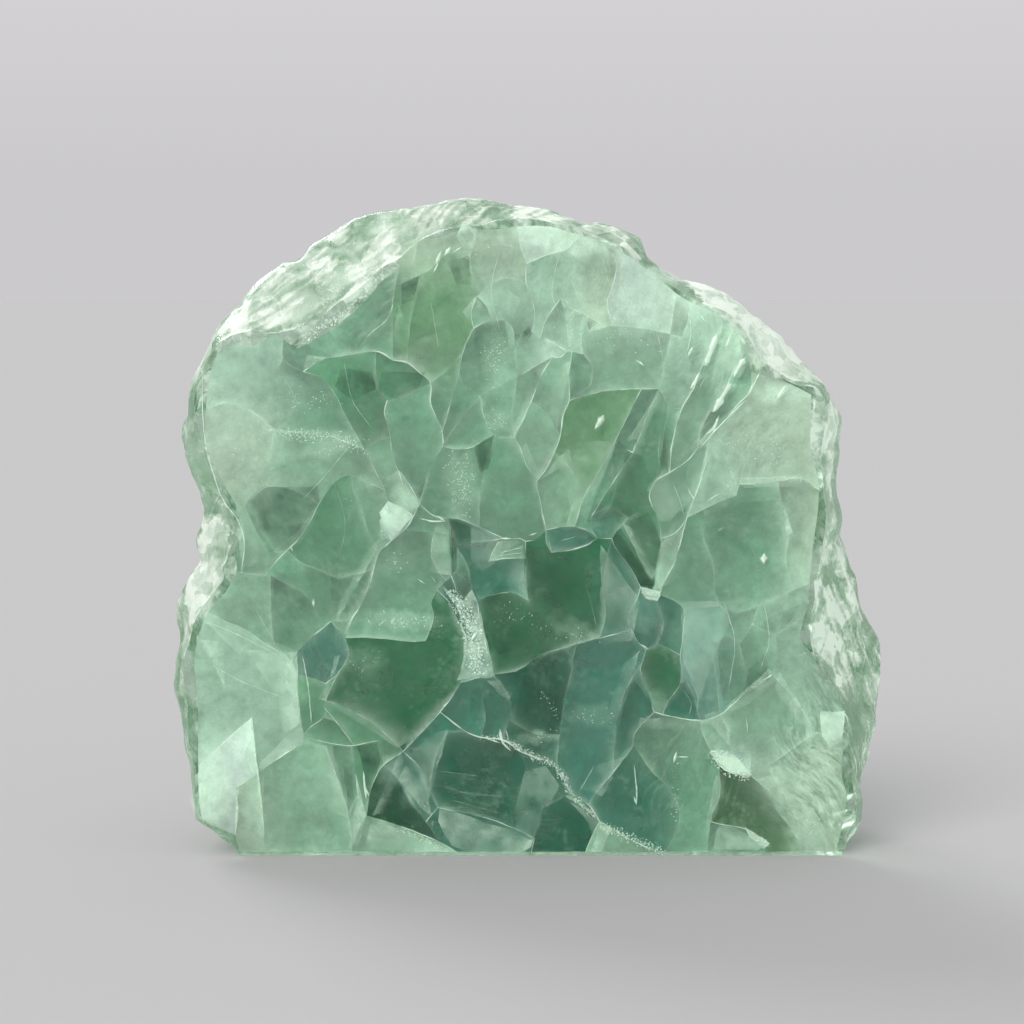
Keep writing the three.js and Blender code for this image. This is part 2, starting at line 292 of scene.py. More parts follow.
def linear(code):
    """A colour's sRGB hex code as linear light."""
    parts = [int(code[i:i + 2], 16) / 255 for i in (1, 3, 5)]
    return (*[c / 12.92 if c <= 0.04045 else ((c + 0.055) / 1.055) ** 2.4 for c in parts], 1)


def node(tree, kind, inputs=None, **settings):
    """Adds a node; an input is a value or another node's output."""
    made = tree.nodes.new(kind)
    for name, value in settings.items():
        setattr(made, name, value)
    for name, value in (inputs or {}).items():
        if isinstance(value, bpy.types.NodeSocket):
            tree.links.new(value, made.inputs[name])
        else:
            made.inputs[name].default_value = value
    return made


def material(name):
    """A new material and its empty tree."""
    made = bpy.data.materials.new(name)
    made.use_nodes = True
    made.node_tree.nodes.clear()
    return made, made.node_tree


def speckle(tree, place, size, low, high, **more):
    """Noise with features of a size in metres, stretched so that low gives 0 and high gives 1."""
    grain = node(tree, "ShaderNodeTexNoise", {"Vector": place, "Scale": 1 / size, **more}).outputs["Fac"]
    return node(tree, "ShaderNodeMapRange", {"Value": grain, "From Min": low, "From Max": high}).outputs[0]


def uneven(tree, value, pattern, much):
    """A value made uneven by a pattern that runs from 0 to 1."""
    pattern = node(tree, "ShaderNodeMath", {0: pattern, 1: 0.5}, operation="SUBTRACT").outputs[0]
    pattern = node(tree, "ShaderNodeMath", {0: pattern, 1: much}, operation="MULTIPLY").outputs[0]
    return node(tree, "ShaderNodeMath", {0: value, 1: pattern}, operation="ADD").outputs[0]


# Green fluorite: polished like glass on the face; where it is broken, clear and green in places and bruised
# to a frosty white in others.
FLUORITE_INDEX = 1.434  # how strongly fluorite bends light
POLISH_ROUGHNESS, BREAK_ROUGHNESS = 0.02, 0.25
GRIT, GRIT_HEIGHT, GRIT_WHITE = 0.9 * MM, 0.1 * MM, 0.3  # size, height and whiteness of the finest unevenness
FLAT_BREAKS = ((4.5 * MM, 0.5), (1.8 * MM, 0.35))  # the size of flat bits of break, and how unlike they are
FLAT_WAVE_SIZE, FLAT_WAVES = 3.0 * MM, 1.6 * MM  # the waves in their edges, and how far these go
SEAM_SPACE, SEAM_WIDTH, SEAM_WHITE = 7.0 * MM, 0.16 * MM, 0.4  # white hairline cracks between some of them
LAMP_SHARE = 0.86  # of a lamp's light goes through the skin; the rest it turns back
GREEN_DENSITY = 16.0  # for each metre; a deep place looks greener than a thin one

fluorite, tree = material("green fluorite")
place = node(tree, "ShaderNodeTexCoord").outputs["Object"]
finish = node(tree, "ShaderNodeAttribute", attribute_name="finish").outputs["Fac"]
polish = node(tree, "ShaderNodeBsdfPrincipled", {
    "Base Color": linear("#f4fbf6"), "Roughness": POLISH_ROUGHNESS, "IOR": FLUORITE_INDEX,
    "Transmission Weight": 1.0}).outputs[0]
frost = node(tree, "ShaderNodeAttribute", attribute_name="frost").outputs["Fac"]
fine = node(tree, "ShaderNodeTexNoise", {
    "Vector": place, "Scale": 1 / GRIT, "Detail": 4.0, "Roughness": 0.65}).outputs["Fac"]
frost = uneven(tree, frost, fine, GRIT_WHITE)
sway = node(tree, "ShaderNodeTexNoise", {
    "Vector": place, "Scale": 1 / FLAT_WAVE_SIZE, "Detail": 4.0}).outputs["Color"]
bent = node(tree, "ShaderNodeVectorMath", {0: sway, 1: (FLAT_WAVES,) * 3, 2: place},
            operation="MULTIPLY_ADD").outputs[0]
for size, much in FLAT_BREAKS:
    cells = node(tree, "ShaderNodeTexVoronoi", {"Vector": bent, "Scale": 1 / size}).outputs["Color"]
    own = node(tree, "ShaderNodeSeparateColor", {"Color": cells}).outputs["Red"]
    frost = uneven(tree, frost, own, much)
edge = node(tree, "ShaderNodeTexVoronoi", {"Vector": bent, "Scale": 1 / SEAM_SPACE},
            feature="DISTANCE_TO_EDGE").outputs[0]
seam = node(tree, "ShaderNodeMapRange", {
    "Value": edge, "From Max": SEAM_WIDTH / SEAM_SPACE, "To Min": SEAM_WHITE, "To Max": 0.0}).outputs[0]
shown = speckle(tree, place, SEAM_SPACE, 0.48, 0.66)
seam = node(tree, "ShaderNodeMath", {0: seam, 1: shown}, operation="MULTIPLY").outputs[0]
frost = node(tree, "ShaderNodeMath", {0: frost, 1: seam}, operation="ADD", use_clamp=True).outputs[0]
calm = node(tree, "ShaderNodeMapRange", {"Value": frost, "To Min": 0.7, "To Max": 0.2}).outputs[0]
bumps = node(tree, "ShaderNodeBump", {"Height": fine, "Strength": calm, "Distance": GRIT_HEIGHT}).outputs[0]
tint = node(tree, "ShaderNodeMix", {0: frost, 6: linear("#6f9a75"), 7: linear("#f1f6f0")},
            data_type="RGBA").outputs[2]
glass = node(tree, "ShaderNodeBsdfPrincipled", {
    "Base Color": linear("#eef8f1"), "Roughness": BREAK_ROUGHNESS, "IOR": FLUORITE_INDEX,
    "Transmission Weight": 1.0, "Normal": bumps}).outputs[0]
white = node(tree, "ShaderNodeBsdfDiffuse", {"Color": tint, "Normal": bumps}).outputs[0]
glow = node(tree, "ShaderNodeBsdfTranslucent", {"Color": tint, "Normal": bumps}).outputs[0]
bruised = node(tree, "ShaderNodeMixShader", {0: 0.5, 1: white, 2: glow}).outputs[0]
cover = node(tree, "ShaderNodeMapRange", {"Value": frost, "To Min": 0.3, "To Max": 0.9}).outputs[0]
rough = node(tree, "ShaderNodeMixShader", {0: cover, 1: glass, 2: bruised}).outputs[0]
skin = node(tree, "ShaderNodeMixShader", {0: finish, 1: rough, 2: polish}).outputs[0]
open_way = node(tree, "ShaderNodeBsdfTransparent", {"Color": (*(LAMP_SHARE,) * 3, 1)}).outputs[0]
lamp_ray = node(tree, "ShaderNodeLightPath").outputs["Is Shadow Ray"]
surface = node(tree, "ShaderNodeMixShader", {0: lamp_ray, 1: skin, 2: open_way}).outputs[0]
absorb = node(tree, "ShaderNodeVolumeAbsorption", {
    "Color": linear("#a6d4b4"), "Density": GREEN_DENSITY}).outputs[0]
node(tree, "ShaderNodeOutputMaterial", {"Surface": surface, "Volume": absorb})

stone = mesh_object("fluorite", stone_mesh())
stone.data.materials.append(fluorite)
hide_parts(STONE)
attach(stone, "root")


# ---- The grains inside ----------------------------------------------------------------------------------
# Just behind the polished face the stone shows the grains it grew from, each a block of crystal clouded by
# tiny bubbles and healed cracks. A film follows the near side of each.

# The edge of the polished face, and the boundaries between grains as they show in it, by how clearly they do.
# Where lines meet they share a point. Points are (x, z) in mm.
FACE_EDGE = [
    (-51, 0.5), (-51.5, 3.5), (-55, 5), (-57.5, 6.5), (-58, 11.5), (-58, 16), (-58, 27.5), (-58.5, 34.5),
    (-57.5, 39.5), (-56, 43), (-53, 46.5), (-51, 50), (-51, 54.5), (-50, 56.5), (-50.5, 60.5),
    (-53.5, 66.5), (-56, 72), (-56, 78.5), (-55.5, 82.5), (-54.5, 86.5), (-51.5, 89.5), (-47.5, 89.5),
    (-44.5, 91.5), (-42.5, 90.5), (-40, 89), (-34.5, 92), (-28, 97.5), (-25.5, 100.5), (-22.5, 102.5),
    (-22, 107), (-19, 108), (-16, 108), (-11.5, 109.5), (-10, 109.5), (-6, 109.5), (-2, 110), (3.5, 110),
    (9, 108.5), (12.5, 107.5), (15.5, 106), (20, 103), (25.5, 98.5), (28, 97), (33, 94.5), (37.5, 90),
    (38.5, 85), (41.5, 84), (45, 83), (49, 81), (49, 72), (50.5, 64.5), (49.5, 54), (49, 48), (48.5, 43.5),
    (47.5, 38.5), (50, 35), (51.5, 31.5), (54, 29), (55, 23), (55, 14.5), (56, 10), (55, 4), (54, 0.5),
    (48, 0.5), (41.5, 0.5), (38, 0.5), (31.5, 0.5), (24, 0.5), (10, 0.5), (0.5, 0.5), (-12.5, 0.5),
    (-30.5, 0.5), (-31, 0.5), (-46.5, 0.5), (-51, 0.5),
]
GRAIN_LINES = {
    "bright": [
        [(-19, 62), (-16.5, 60), (-14, 59.5), (-12.5, 59.5), (-8.5, 58), (-6.5, 57), (-4, 56), (-1.5, 56),
            (-0.5, 55.5), (1.5, 56), (3, 57.5)],
        [(4, 87.5), (2, 84), (0.5, 80), (-1, 76.5), (-2.5, 73.5), (-1.5, 72), (-0.5, 69), (1.5, 66)],
        [(7.5, 88.5), (7, 85), (7, 80), (6, 77.5), (5.5, 74), (4.5, 71), (3, 68), (1.5, 66), (2, 62.5),
            (3, 57.5)],
        [(-16, 47), (-14, 45), (-13, 43), (-11.5, 40), (-11, 39), (-11, 35.5), (-12, 30.5), (-13.5, 28),
            (-15.5, 25.5), (-18.5, 22), (-22, 18.5)],
        [(-19, 62), (-20, 60), (-21.5, 57.5), (-24, 55.5), (-26, 53.5), (-27, 50.5), (-28, 47), (-29.5, 44),
            (-31, 41.5), (-32, 38.5)],
        [(-28.5, 7), (-22, 5), (-16, 2.5), (-12.5, 0.5)],
        [(12.5, 6), (14.5, 5), (17, 3.5), (20.5, 1.5), (24, 0.5)],
        [(-15.5, 25.5), (-11, 22), (-8.5, 21), (-4.5, 20.5), (-1.5, 18.5), (1, 17.5), (5, 15.5), (7.5, 11),
            (10.5, 9), (12.5, 6)],
        [(18, 40), (19, 38), (20.5, 36.5), (20, 34.5), (19.5, 33), (21, 29), (22, 25.5), (23.5, 25),
            (30, 24), (33.5, 25), (36.5, 27.5), (38.5, 29.5), (42.5, 32)],
        [(-10, 48), (-9, 45), (-8.5, 41.5), (-7.5, 37.5), (-6, 32)],
        [(-34.5, 41.5), (-37.5, 39), (-40, 36.5), (-41.5, 34.5)],
        [(-39.5, 20), (-43.5, 17.5), (-47.5, 14.5), (-51.5, 12), (-51, 7.5), (-51.5, 3.5)],
        [(38.5, 85), (38.5, 82), (36, 79), (34, 76.5), (31.5, 74), (29.5, 72), (28, 70), (24.5, 67.5),
            (22, 66), (21, 63.5), (21.5, 61.5)],
        [(31.5, 74), (31, 70.5), (30, 66.5), (29, 63.5), (27.5, 59.5), (26.5, 55.5), (25.5, 52), (23.5, 48),
            (23, 46)],
        [(33, 94.5), (33.5, 93), (31.5, 89), (30, 86), (28.5, 82), (26.5, 78.5), (25, 73), (24.5, 67.5)],
        [(37.5, 90), (37, 87.5), (35.5, 85), (33.5, 81), (31.5, 78), (30, 75), (29.5, 72)],
        [(3, 57.5), (5.5, 58), (6.5, 58), (8, 58), (10, 57.5), (12, 56), (10.5, 55), (7.5, 54), (4, 53.5),
            (3, 55.5), (3, 57.5)],
        [(-19, 62), (-20, 63.5), (-21.5, 64.5), (-22.5, 67.5), (-23.5, 70), (-24, 73.5), (-25, 78),
            (-24.5, 80)],
        [(-39, 85), (-36, 87), (-30.5, 88), (-26.5, 88.5), (-23.5, 87), (-21, 86.5), (-18.5, 84.5),
            (-17, 83), (-17, 79.5), (-15.5, 76), (-15, 74.5), (-15, 72), (-16.5, 69.5), (-18, 66),
            (-19, 62)],
        [(35.5, 18.5), (32, 18.5), (33.5, 16), (36, 14.5), (39, 14)],
        [(-10, 48), (-10, 45.5), (-10.5, 43.5), (-12, 45.5), (-13.5, 49.5)],
    ],
    "clear": [
        [(-32, 38.5), (-26, 38.5), (-21.5, 38), (-18, 38), (-17, 40.5), (-16.5, 43), (-17, 44.5),
            (-16, 47)],
        [(-56, 43), (-53, 41.5), (-49.5, 40), (-46, 37.5), (-42.5, 35.5), (-41.5, 34.5), (-41, 33.5),
            (-40.5, 32), (-40.5, 28.5), (-39.5, 21.5), (-39.5, 20)],
        [(-22, 18.5), (-25.5, 16), (-27, 13.5), (-28, 10.5), (-28.5, 7), (-30.5, 0.5)],
        [(7, 80), (12.5, 81.5), (18, 82), (19.5, 82), (22.5, 82)],
        [(-15, 74.5), (-14.5, 76), (-13.5, 80), (-12, 85), (-11.5, 88), (-10.5, 90.5), (-9.5, 92.5),
            (-7.5, 93.5), (-6.5, 94)],
        [(-15, 72), (-12.5, 71.5), (-9.5, 72), (-8, 73), (-6, 74)],
        [(-8.5, 81), (-8, 78), (-7, 75.5), (-6, 74), (-4, 73.5), (-2.5, 73.5)],
        [(22, 25.5), (18.5, 21.5), (18.5, 19.5), (15, 15), (11, 10), (10.5, 9)],
        [(6.5, 10.5), (9.5, 8.5), (12.5, 6), (11, 3), (10, 0.5)],
        [(-44, 75), (-40.5, 74.5), (-37, 74.5), (-33.5, 73.5), (-30, 72), (-28.5, 71.5)],
        [(-39, 85), (-36, 84), (-33.5, 81), (-32, 78), (-30.5, 75), (-28.5, 71.5), (-27, 68.5),
            (-25.5, 65.5), (-25, 64.5)],
        [(-25, 64.5), (-28.5, 66), (-31, 67), (-33.5, 66), (-35.5, 63.5), (-36.5, 62), (-38, 59), (-40, 56),
            (-42, 54), (-44, 52), (-46, 49.5)],
        [(-58, 16), (-52.5, 21), (-48.5, 24.5), (-48, 20.5), (-47.5, 14.5)],
        [(-2, 110), (-1.5, 106.5), (-0.5, 103.5), (-0.5, 100.5), (0.5, 97.5), (1, 95), (0.5, 92)],
        [(-9, 98), (-7.5, 96.5), (-6.5, 94)], [(-9, 98), (-10, 95), (-9.5, 92.5)],
        [(23, 46), (25.5, 45), (27, 43.5), (27, 40), (26.5, 35.5), (26.5, 30.5), (24.5, 27.5), (23.5, 25)],
        [(22.5, 37.5), (24, 37), (26.5, 35.5)],
        [(22.5, 45), (23, 43), (23.5, 40.5), (22.5, 37.5), (20.5, 36.5)],
        [(19.5, 47.5), (21.5, 47), (23, 46), (22.5, 45), (20.5, 45.5), (19.5, 47.5)],
        [(12, 56), (14.5, 56), (15, 54.5), (16.5, 52.5), (18, 50.5), (19, 48.5), (19.5, 47.5), (18.5, 44.5),
            (17.5, 42), (18, 40)],
        [(18, 40), (12.5, 38.5), (8.5, 37.5), (7, 37), (2, 35.5), (-1.5, 33), (-6, 32)],
        [(-4, 56), (-7.5, 55.5), (-11, 55), (-12.5, 54.5), (-13, 57), (-14, 59.5)],
        [(-0.5, 103.5), (3, 105), (6.5, 106), (8, 107.5), (9, 108.5)],
        [(33.5, 16), (33.5, 10.5), (32, 6), (31.5, 0.5)], [(26.5, 30.5), (27.5, 31), (29, 28), (30, 24)],
        [(-32, 38.5), (-31.5, 35.5), (-33.5, 32), (-35.5, 27.5), (-36, 24.5), (-38, 23), (-39.5, 21.5)],
        [(-35.5, 27.5), (-31.5, 26), (-27.5, 23.5), (-24.5, 21), (-22, 18.5)],
        [(-22, 18.5), (-19, 15.5), (-17.5, 11.5), (-16, 8.5), (-18, 6)],
        [(-16, 8.5), (-11, 7.5), (-7, 6.5), (-3, 5), (1, 3), (0.5, 0.5)],
        [(-30.5, 88), (-27.5, 91.5), (-24.5, 94), (-23.5, 96.5)],
        [(-31, 19.5), (-30.5, 15), (-29.5, 11), (-28.5, 7)],
        [(-35.5, 19.5), (-34, 15), (-32.5, 10.5), (-31.5, 6), (-31, 0.5)],
        [(-24.5, 62.5), (-21.5, 61), (-20, 60)],
        [(-25, 64.5), (-24.5, 62.5), (-26, 60.5), (-25, 57.5), (-24, 55.5)],
        [(21.5, 61.5), (22.5, 59.5), (23, 56), (22.5, 52.5), (22, 49.5), (22, 48), (21.5, 47)],
        [(27.5, 59.5), (25.5, 57), (23, 56)], [(-16.5, 57), (-17, 53.5), (-16, 50.5), (-14.5, 48.5)],
        [(-0.5, 55.5), (-0.5, 52.5), (-0.5, 48.5), (0, 45), (-3, 46.5), (-6.5, 46), (-9, 45)],
        [(-4, 56), (-5.5, 55), (-7, 52), (-4, 52.5), (-0.5, 52.5)],
        [(19.5, 82), (17, 77), (14.5, 72), (12, 67.5), (9.5, 63), (8, 58)],
        [(22.5, 82), (20.5, 77.5), (18.5, 72), (16, 68), (13.5, 64), (11, 60)],
        [(-6, 32), (-9, 31.5), (-12, 30.5)], [(2, 90.5), (4, 90), (6.5, 88.5), (5.5, 87.5), (4, 87.5)],
        [(2, 90.5), (3, 94), (5.5, 97.5), (7.5, 96), (9.5, 95), (9, 91), (9.5, 88), (7.5, 88.5)],
        [(9.5, 95), (12, 93.5), (10.5, 92), (14.5, 93), (13.5, 97), (14.5, 100), (15, 104), (12.5, 107.5)],
        [(-34.5, 41.5), (-32, 38.5)], [(-33.5, 32), (-35.5, 30.5), (-38, 31.5), (-40.5, 32)],
        [(27.5, 59.5), (30.5, 61), (32.5, 62), (36, 63.5), (36.5, 65.5), (40, 65.5), (43.5, 66), (47, 66.5),
            (50.5, 64.5)],
        [(32, 6), (34, 5.5), (38.5, 4.5), (42.5, 1.5), (41.5, 0.5)],
    ],
    "faint": [
        [(-22.5, 102.5), (-23, 100), (-23.5, 96.5), (-23.5, 92), (-23.5, 87)],
        [(-34.5, 92), (-33, 90), (-30.5, 88)], [(-42.5, 90.5), (-42.5, 87.5), (-41, 86), (-39, 85)],
        [(-42.5, 87.5), (-43.5, 85), (-41.5, 82.5), (-40, 79.5), (-41.5, 77.5), (-44, 75)],
        [(-56, 78.5), (-52, 79.5), (-48.5, 78.5), (-44, 75)],
        [(-50.5, 60.5), (-48.5, 62.5), (-45.5, 65), (-41, 64.5), (-36.5, 62)],
        [(-44, 75), (-45, 70.5), (-45.5, 65)], [(-48.5, 62.5), (-46.5, 57), (-44, 53.5), (-42, 54)],
        [(-46.5, 57), (-42.5, 58.5), (-38, 59)], [(-50.5, 60.5), (-49.5, 57.5), (-49.5, 54.5), (-50, 50)],
        [(-51, 50), (-50, 50), (-46, 49.5), (-45, 49.5), (-42.5, 48), (-39.5, 46.5), (-36.5, 43),
            (-34.5, 41.5)],
        [(-45, 49.5), (-45, 45), (-44.5, 38), (-42.5, 35.5)],
        [(-31, 67), (-30.5, 64), (-29, 61), (-28, 57.5), (-26, 53.5)],
        [(-17, 83), (-19, 82), (-21.5, 80.5), (-24.5, 80), (-26, 82.5), (-26.5, 85.5), (-26.5, 88.5)],
        [(-28.5, 71.5), (-26, 73), (-24, 73.5)],
        [(-42, 54), (-40, 52), (-36.5, 50.5), (-33.5, 49), (-31, 49.5), (-27, 50.5)],
        [(-34.5, 41.5), (-31, 41.5)], [(-36, 24.5), (-33, 23), (-31, 19.5)],
        [(-39.5, 20), (-35.5, 19.5), (-31, 19.5), (-26, 20), (-25.5, 16)],
        [(-29.5, 11), (-31, 8.5), (-31.5, 6)], [(-47.5, 14.5), (-46.5, 4.5), (-46.5, 0.5)],
        [(-16, 47), (-14.5, 48.5), (-13.5, 49.5), (-13.5, 52), (-13.5, 56.5), (-14, 59.5)],
        [(-21.5, 57.5), (-16.5, 57), (-13.5, 56.5)], [(-12.5, 54.5), (-12.5, 52), (-12.5, 50)],
        [(-13.5, 49.5), (-12.5, 50), (-11, 49), (-10, 48)],
        [(-12.5, 54.5), (-11.5, 53), (-10.5, 51), (-10, 48)],
        [(14.5, 56), (13.5, 52), (13, 47), (13.5, 42.5), (12.5, 38.5)],
        [(12, 56), (11, 58), (11, 60), (13.5, 61.5), (15.5, 61), (17.5, 59.5), (16, 58), (14.5, 56)],
        [(4.5, 71), (7, 68.5), (8.5, 65.5), (7.5, 61.5), (6.5, 58)], [(0.5, 80), (3, 78), (5.5, 74)],
        [(-6, 74), (-7, 70.5), (-8, 67), (-8.5, 62.5), (-8.5, 58)], [(-9.5, 72), (-9, 69.5), (-8, 67)],
        [(-18, 102), (-19.5, 97.5), (-20.5, 93), (-21, 86.5)],
        [(-23, 100), (-20.5, 101), (-18, 102), (-16, 103.5), (-14.5, 105), (-12, 105.5), (-10, 106),
            (-9.5, 108), (-10, 109.5)],
        [(-19, 108), (-19.5, 105), (-20.5, 101)],
        [(-10, 106), (-10, 103), (-9, 98), (-7, 100), (-4, 101), (-0.5, 100.5)],
        [(-9.5, 108), (-7.5, 107), (-5, 107), (-1.5, 106.5)], [(-17, 83), (-14.5, 85), (-11.5, 88)],
        [(-12, 85), (-11, 82.5), (-8.5, 81), (-5.5, 82.5), (-2, 84)],
        [(-6.5, 94), (-4.5, 94), (-3, 93), (-2.5, 91.5), (-2.5, 88), (-2, 84), (-2.5, 80), (-3, 76.5),
            (-2.5, 73.5)],
        [(-8.5, 81), (-11, 78), (-13, 75), (-15, 72)],
        [(0.5, 92), (-0.5, 93), (-1.5, 91.5), (-2, 88.5), (0.5, 92)], [(-2.5, 91.5), (-1.5, 91.5)],
        [(-2.5, 88), (-2, 88.5)], [(0.5, 92), (2, 90.5), (4, 87.5)], [(-2, 84), (0.5, 85.5), (4, 87.5)],
        [(6.5, 88.5), (7.5, 88.5)], [(3.5, 110), (3.5, 107), (3, 105)],
        [(6.5, 106), (9, 104), (7.5, 100.5), (9.5, 95)], [(9.5, 95), (10.5, 92)],
        [(14.5, 93), (19, 92.5), (24.5, 91.5)], [(9.5, 88), (11, 85.5), (10.5, 82.5), (7, 80)],
        [(25.5, 98.5), (25, 95), (24.5, 91.5), (23.5, 86), (22.5, 82)],
        [(28, 97), (27.5, 94), (26.5, 91), (24.5, 91.5)],
        [(22.5, 82), (24, 79), (23.5, 75), (23, 70.5), (22, 66)], [(24, 79), (26.5, 78.5)],
        [(17.5, 59.5), (19.5, 61), (21.5, 61.5)],
        [(16, 58), (18, 54.5), (19.5, 52), (21.5, 49), (22, 49.5)], [(21, 29), (24.5, 27.5)],
        [(27, 43.5), (30, 44), (33.5, 44), (35, 41.5), (34.5, 39), (32, 37.5), (32.5, 33.5), (33, 29.5),
            (33.5, 25)],
        [(30.5, 61), (30.5, 56.5), (32, 52), (32.5, 47), (33.5, 44), (36.5, 43), (40, 44), (43.5, 45.5),
            (46.5, 47), (49, 48)],
        [(43.5, 66), (44, 62), (45.5, 58), (45, 52), (46.5, 47)],
        [(31.5, 74), (35, 72), (37.5, 69.5), (36.5, 65.5)], [(40, 44), (39, 41), (37, 37.5), (34.5, 39)],
        [(37, 37.5), (38, 33), (38.5, 29.5)], [(39, 41), (43, 39), (47, 41.5), (48.5, 43.5)],
        [(43, 39), (43.5, 35), (42.5, 32), (45.5, 29), (48, 25.5), (50, 21.5), (55, 23)],
        [(33.5, 25), (35, 21.5), (35.5, 18.5), (39, 18), (39, 14)],
        [(50, 21.5), (46, 18.5), (42.5, 16), (39, 14), (42.5, 11), (46, 7), (47, 4.5), (48, 0.5)],
        [(30, 24), (30.5, 21.5), (32, 18.5)], [(18.5, 19.5), (21.5, 15), (25, 11.5), (26.5, 6), (24, 0.5)],
        [(-6, 32), (-4, 29.5), (-3, 27), (-3.5, 24), (-4.5, 20.5)],
        [(-9, 31.5), (-8, 27.5), (-7.5, 24), (-8.5, 21)],
        [(8.5, 37.5), (7, 31), (6, 25.5), (5.5, 21.5), (5, 15.5)], [(-3.5, 24), (1, 21.5), (5.5, 21.5)],
        [(20, 34.5), (17, 29.5), (15.5, 24.5), (15, 19.5), (15, 15)],
        [(-11, 22), (-14.5, 22), (-16, 18.5), (-17.5, 11.5)],
        [(-1.5, 18.5), (-0.5, 15.5), (-1.5, 11.5), (-2.5, 7.5), (-3, 5)],
        [(-25.5, 16), (-23, 13.5), (-20.5, 9), (-18, 6), (-16, 2.5)],
        [(1, 3), (2.5, 8.5), (6.5, 10.5), (7.5, 11)],
    ],
}
# What kind each grain is, told by a point inside it. The grains along the rim, most of them light yellow,
# pale
# or light green, are partly painted light: paler than the stone's own green, for light shining in through the
# thin edge at the top and the lower left.
GRAINS = {
    "deep green": [(-23, 30), (7, 44), (20, 49), (23, 33), (-13, 51)],
    "deep teal": [(2, 29), (-8, 14), (6, 5), (3, 19)],
    "deep olive": [(-24, 9), (-11, 46)],
    "dark green": [
        (-30, 83), (-23, 84), (-8, 71), (-1, 91), (-38, 28), (-36, 22), (-30, 22), (18, 65), (25, 77),
        (-33, 55), (20, 57), (-28, 17),
    ],
    "dark teal": [
        (16, 47), (19, 26), (25, 39), (19, 9), (-11, 26), (-6, 28), (-18, 19), (2, 12), (6, 56), (-7, 49),
        (27, 27), (-11, 57), (-11, 4),
    ],
    "olive": [(38, 9)],
    "green": [
        (-15, 82), (-12, 80), (-20, 75), (-43, 56), (-13, 65), (-3, 62), (-18, 59), (9, 85), (17, 73),
        (-41, 42), (-33, 45), (-23, 44), (-33, 17), (28, 48), (38, 56), (35, 34), (40, 37), (26, 18),
        (-7, 87), (-50, 55), (-4, 54), (-10, 75), (-36, 78), (-26, 90), (8, 10), (-36, 89), (25, 63),
        (34, 3), (-5, 80), (-27, 95),
    ],
    "teal": [(14, 59), (13, 33), (-36, 35), (-11, 50), (21, 41), (-21, 14), (-9, 34)],
    "soft green": [
        (-25, 69), (-38, 69), (-27, 63), (2, 73), (0, 83), (4, 81), (5, 65), (36, 82), (33, 86), (-47, 53),
        (-49, 45), (-40, 10), (16, 87), (-2, 91), (24, 53), (42, 23), (-27, 3), (-15, 53), (-32.5, 40.5),
        (14, 3), (37, 41), (-8, 95), (23, 27), (-44, 61),
    ],
    "soft teal": [(30, 40)],
    "light green": [
        (-49, 84), (-3, 97), (1, 88), (4, 101), (27, 87), (6, 93), (33, 66), (-51, 32), (47, 33), (43, 42),
        (-30, 7), (33, 21),
    ],
    "light yellow": [
        (-21, 105), (-17, 106), (-3, 108), (-7, 104), (11, 100), (26, 94), (42, 75), (11, 93.5), (-50, 73),
        (49, 13), (47, 63), (-49, 4), (5, 108),
    ],
    "pale": [(-52, 16), (1, 107), (20, 97)],
    "milky": [(-23, 59), (4, 89), (37, 16), (21, 46)],
    "leaf green": [(-15, 93), (-21, 99), (11, 76)],
}
# How each kind of grain looks: colour of the clouding in it, how much of it there is, how deep it lies in mm.
GRAIN_LOOKS = {
    "deep green": ("#195b3c", 0.88, 1.8), "deep teal": ("#004a38", 0.88, 1.8),
    "deep olive": ("#11442a", 0.88, 1.6), "dark green": ("#538366", 0.86, 1.4),
    "dark teal": ("#2b6556", 0.86, 1.4), "olive": ("#325935", 0.86, 1.2), "green": ("#658c77", 0.84, 1.0),
    "leaf green": ("#628c68", 0.84, 1.0), "teal": ("#32685d", 0.84, 1.0),
    "soft green": ("#7e9f8b", 0.84, 0.8), "soft teal": ("#6f968f", 0.84, 0.8),
    # light green, light yellow and pale are partly painted light where they lie on the rim: light through the
    # thin edge
    "light green": ("#97b2a3", 0.84, 0.6),
    "light yellow": ("#a5b6a6", 0.84, 0.6), "pale": ("#c3d2cc", 0.86, 0.5), "milky": ("#bfcecb", 0.9, 0.4),
}
GRAIN_DEFAULT = "soft green"
STEP = 0.8  # mm between points along a boundary
CORNER = math.radians(48)  # a boundary that turns more sharply than this has a corner there
WAVER, WAVER_OFTEN = 0.09, 0.9  # mm that a boundary wanders, and how often it does, for each mm
TINY = 1e-6  # mm, keeps a length of nothing from being divided by


def turn(a, b, c):
    """How sharply a line turns at its middle point."""
    first, second = Vector(b) - Vector(a), Vector(c) - Vector(b)
    return abs(first.angle(second, 0.0))


def spline(points):
    """The smooth line through the points, which are kept exactly."""
    line = [points[0]]
    for i in range(len(points) - 1):
        p1, p2 = Vector(points[i]), Vector(points[i + 1])
        p0 = Vector(points[i - 1]) if i else 2 * p1 - p2
        p3 = Vector(points[i + 2]) if i + 2 < len(points) else 2 * p2 - p1
        length = (p2 - p1).length
        pull1 = (p2 - p0) * (length / max((p2 - p1).length + (p1 - p0).length, TINY))
        pull2 = (p3 - p1) * (length / max((p3 - p2).length + (p2 - p1).length, TINY))
        count = max(1, round(length / STEP))
        for k in range(1, count):
            t = k / count
            at = ((2 * t**3 - 3 * t**2 + 1) * p1 + (t**3 - 2 * t**2 + t) * pull1
                  + (3 * t**2 - 2 * t**3) * p2 + (t**3 - t**2) * pull2)
            shift = noise.noise_vector(Vector((at.x, 0, at.y)) * WAVER_OFTEN)
            line.append((at.x + WAVER * shift.x, at.y + WAVER * shift.z))
        line.append(points[i + 1])
    return line


def smooth(points):
    """Splines between the corners of a boundary."""
    line, start = [points[0]], 0
    for i in range(1, len(points)):
        if i == len(points) - 1 or turn(*points[i - 1:i + 2]) > CORNER:
            line += spline(points[start:i + 1])[1:]
            start = i
    return line


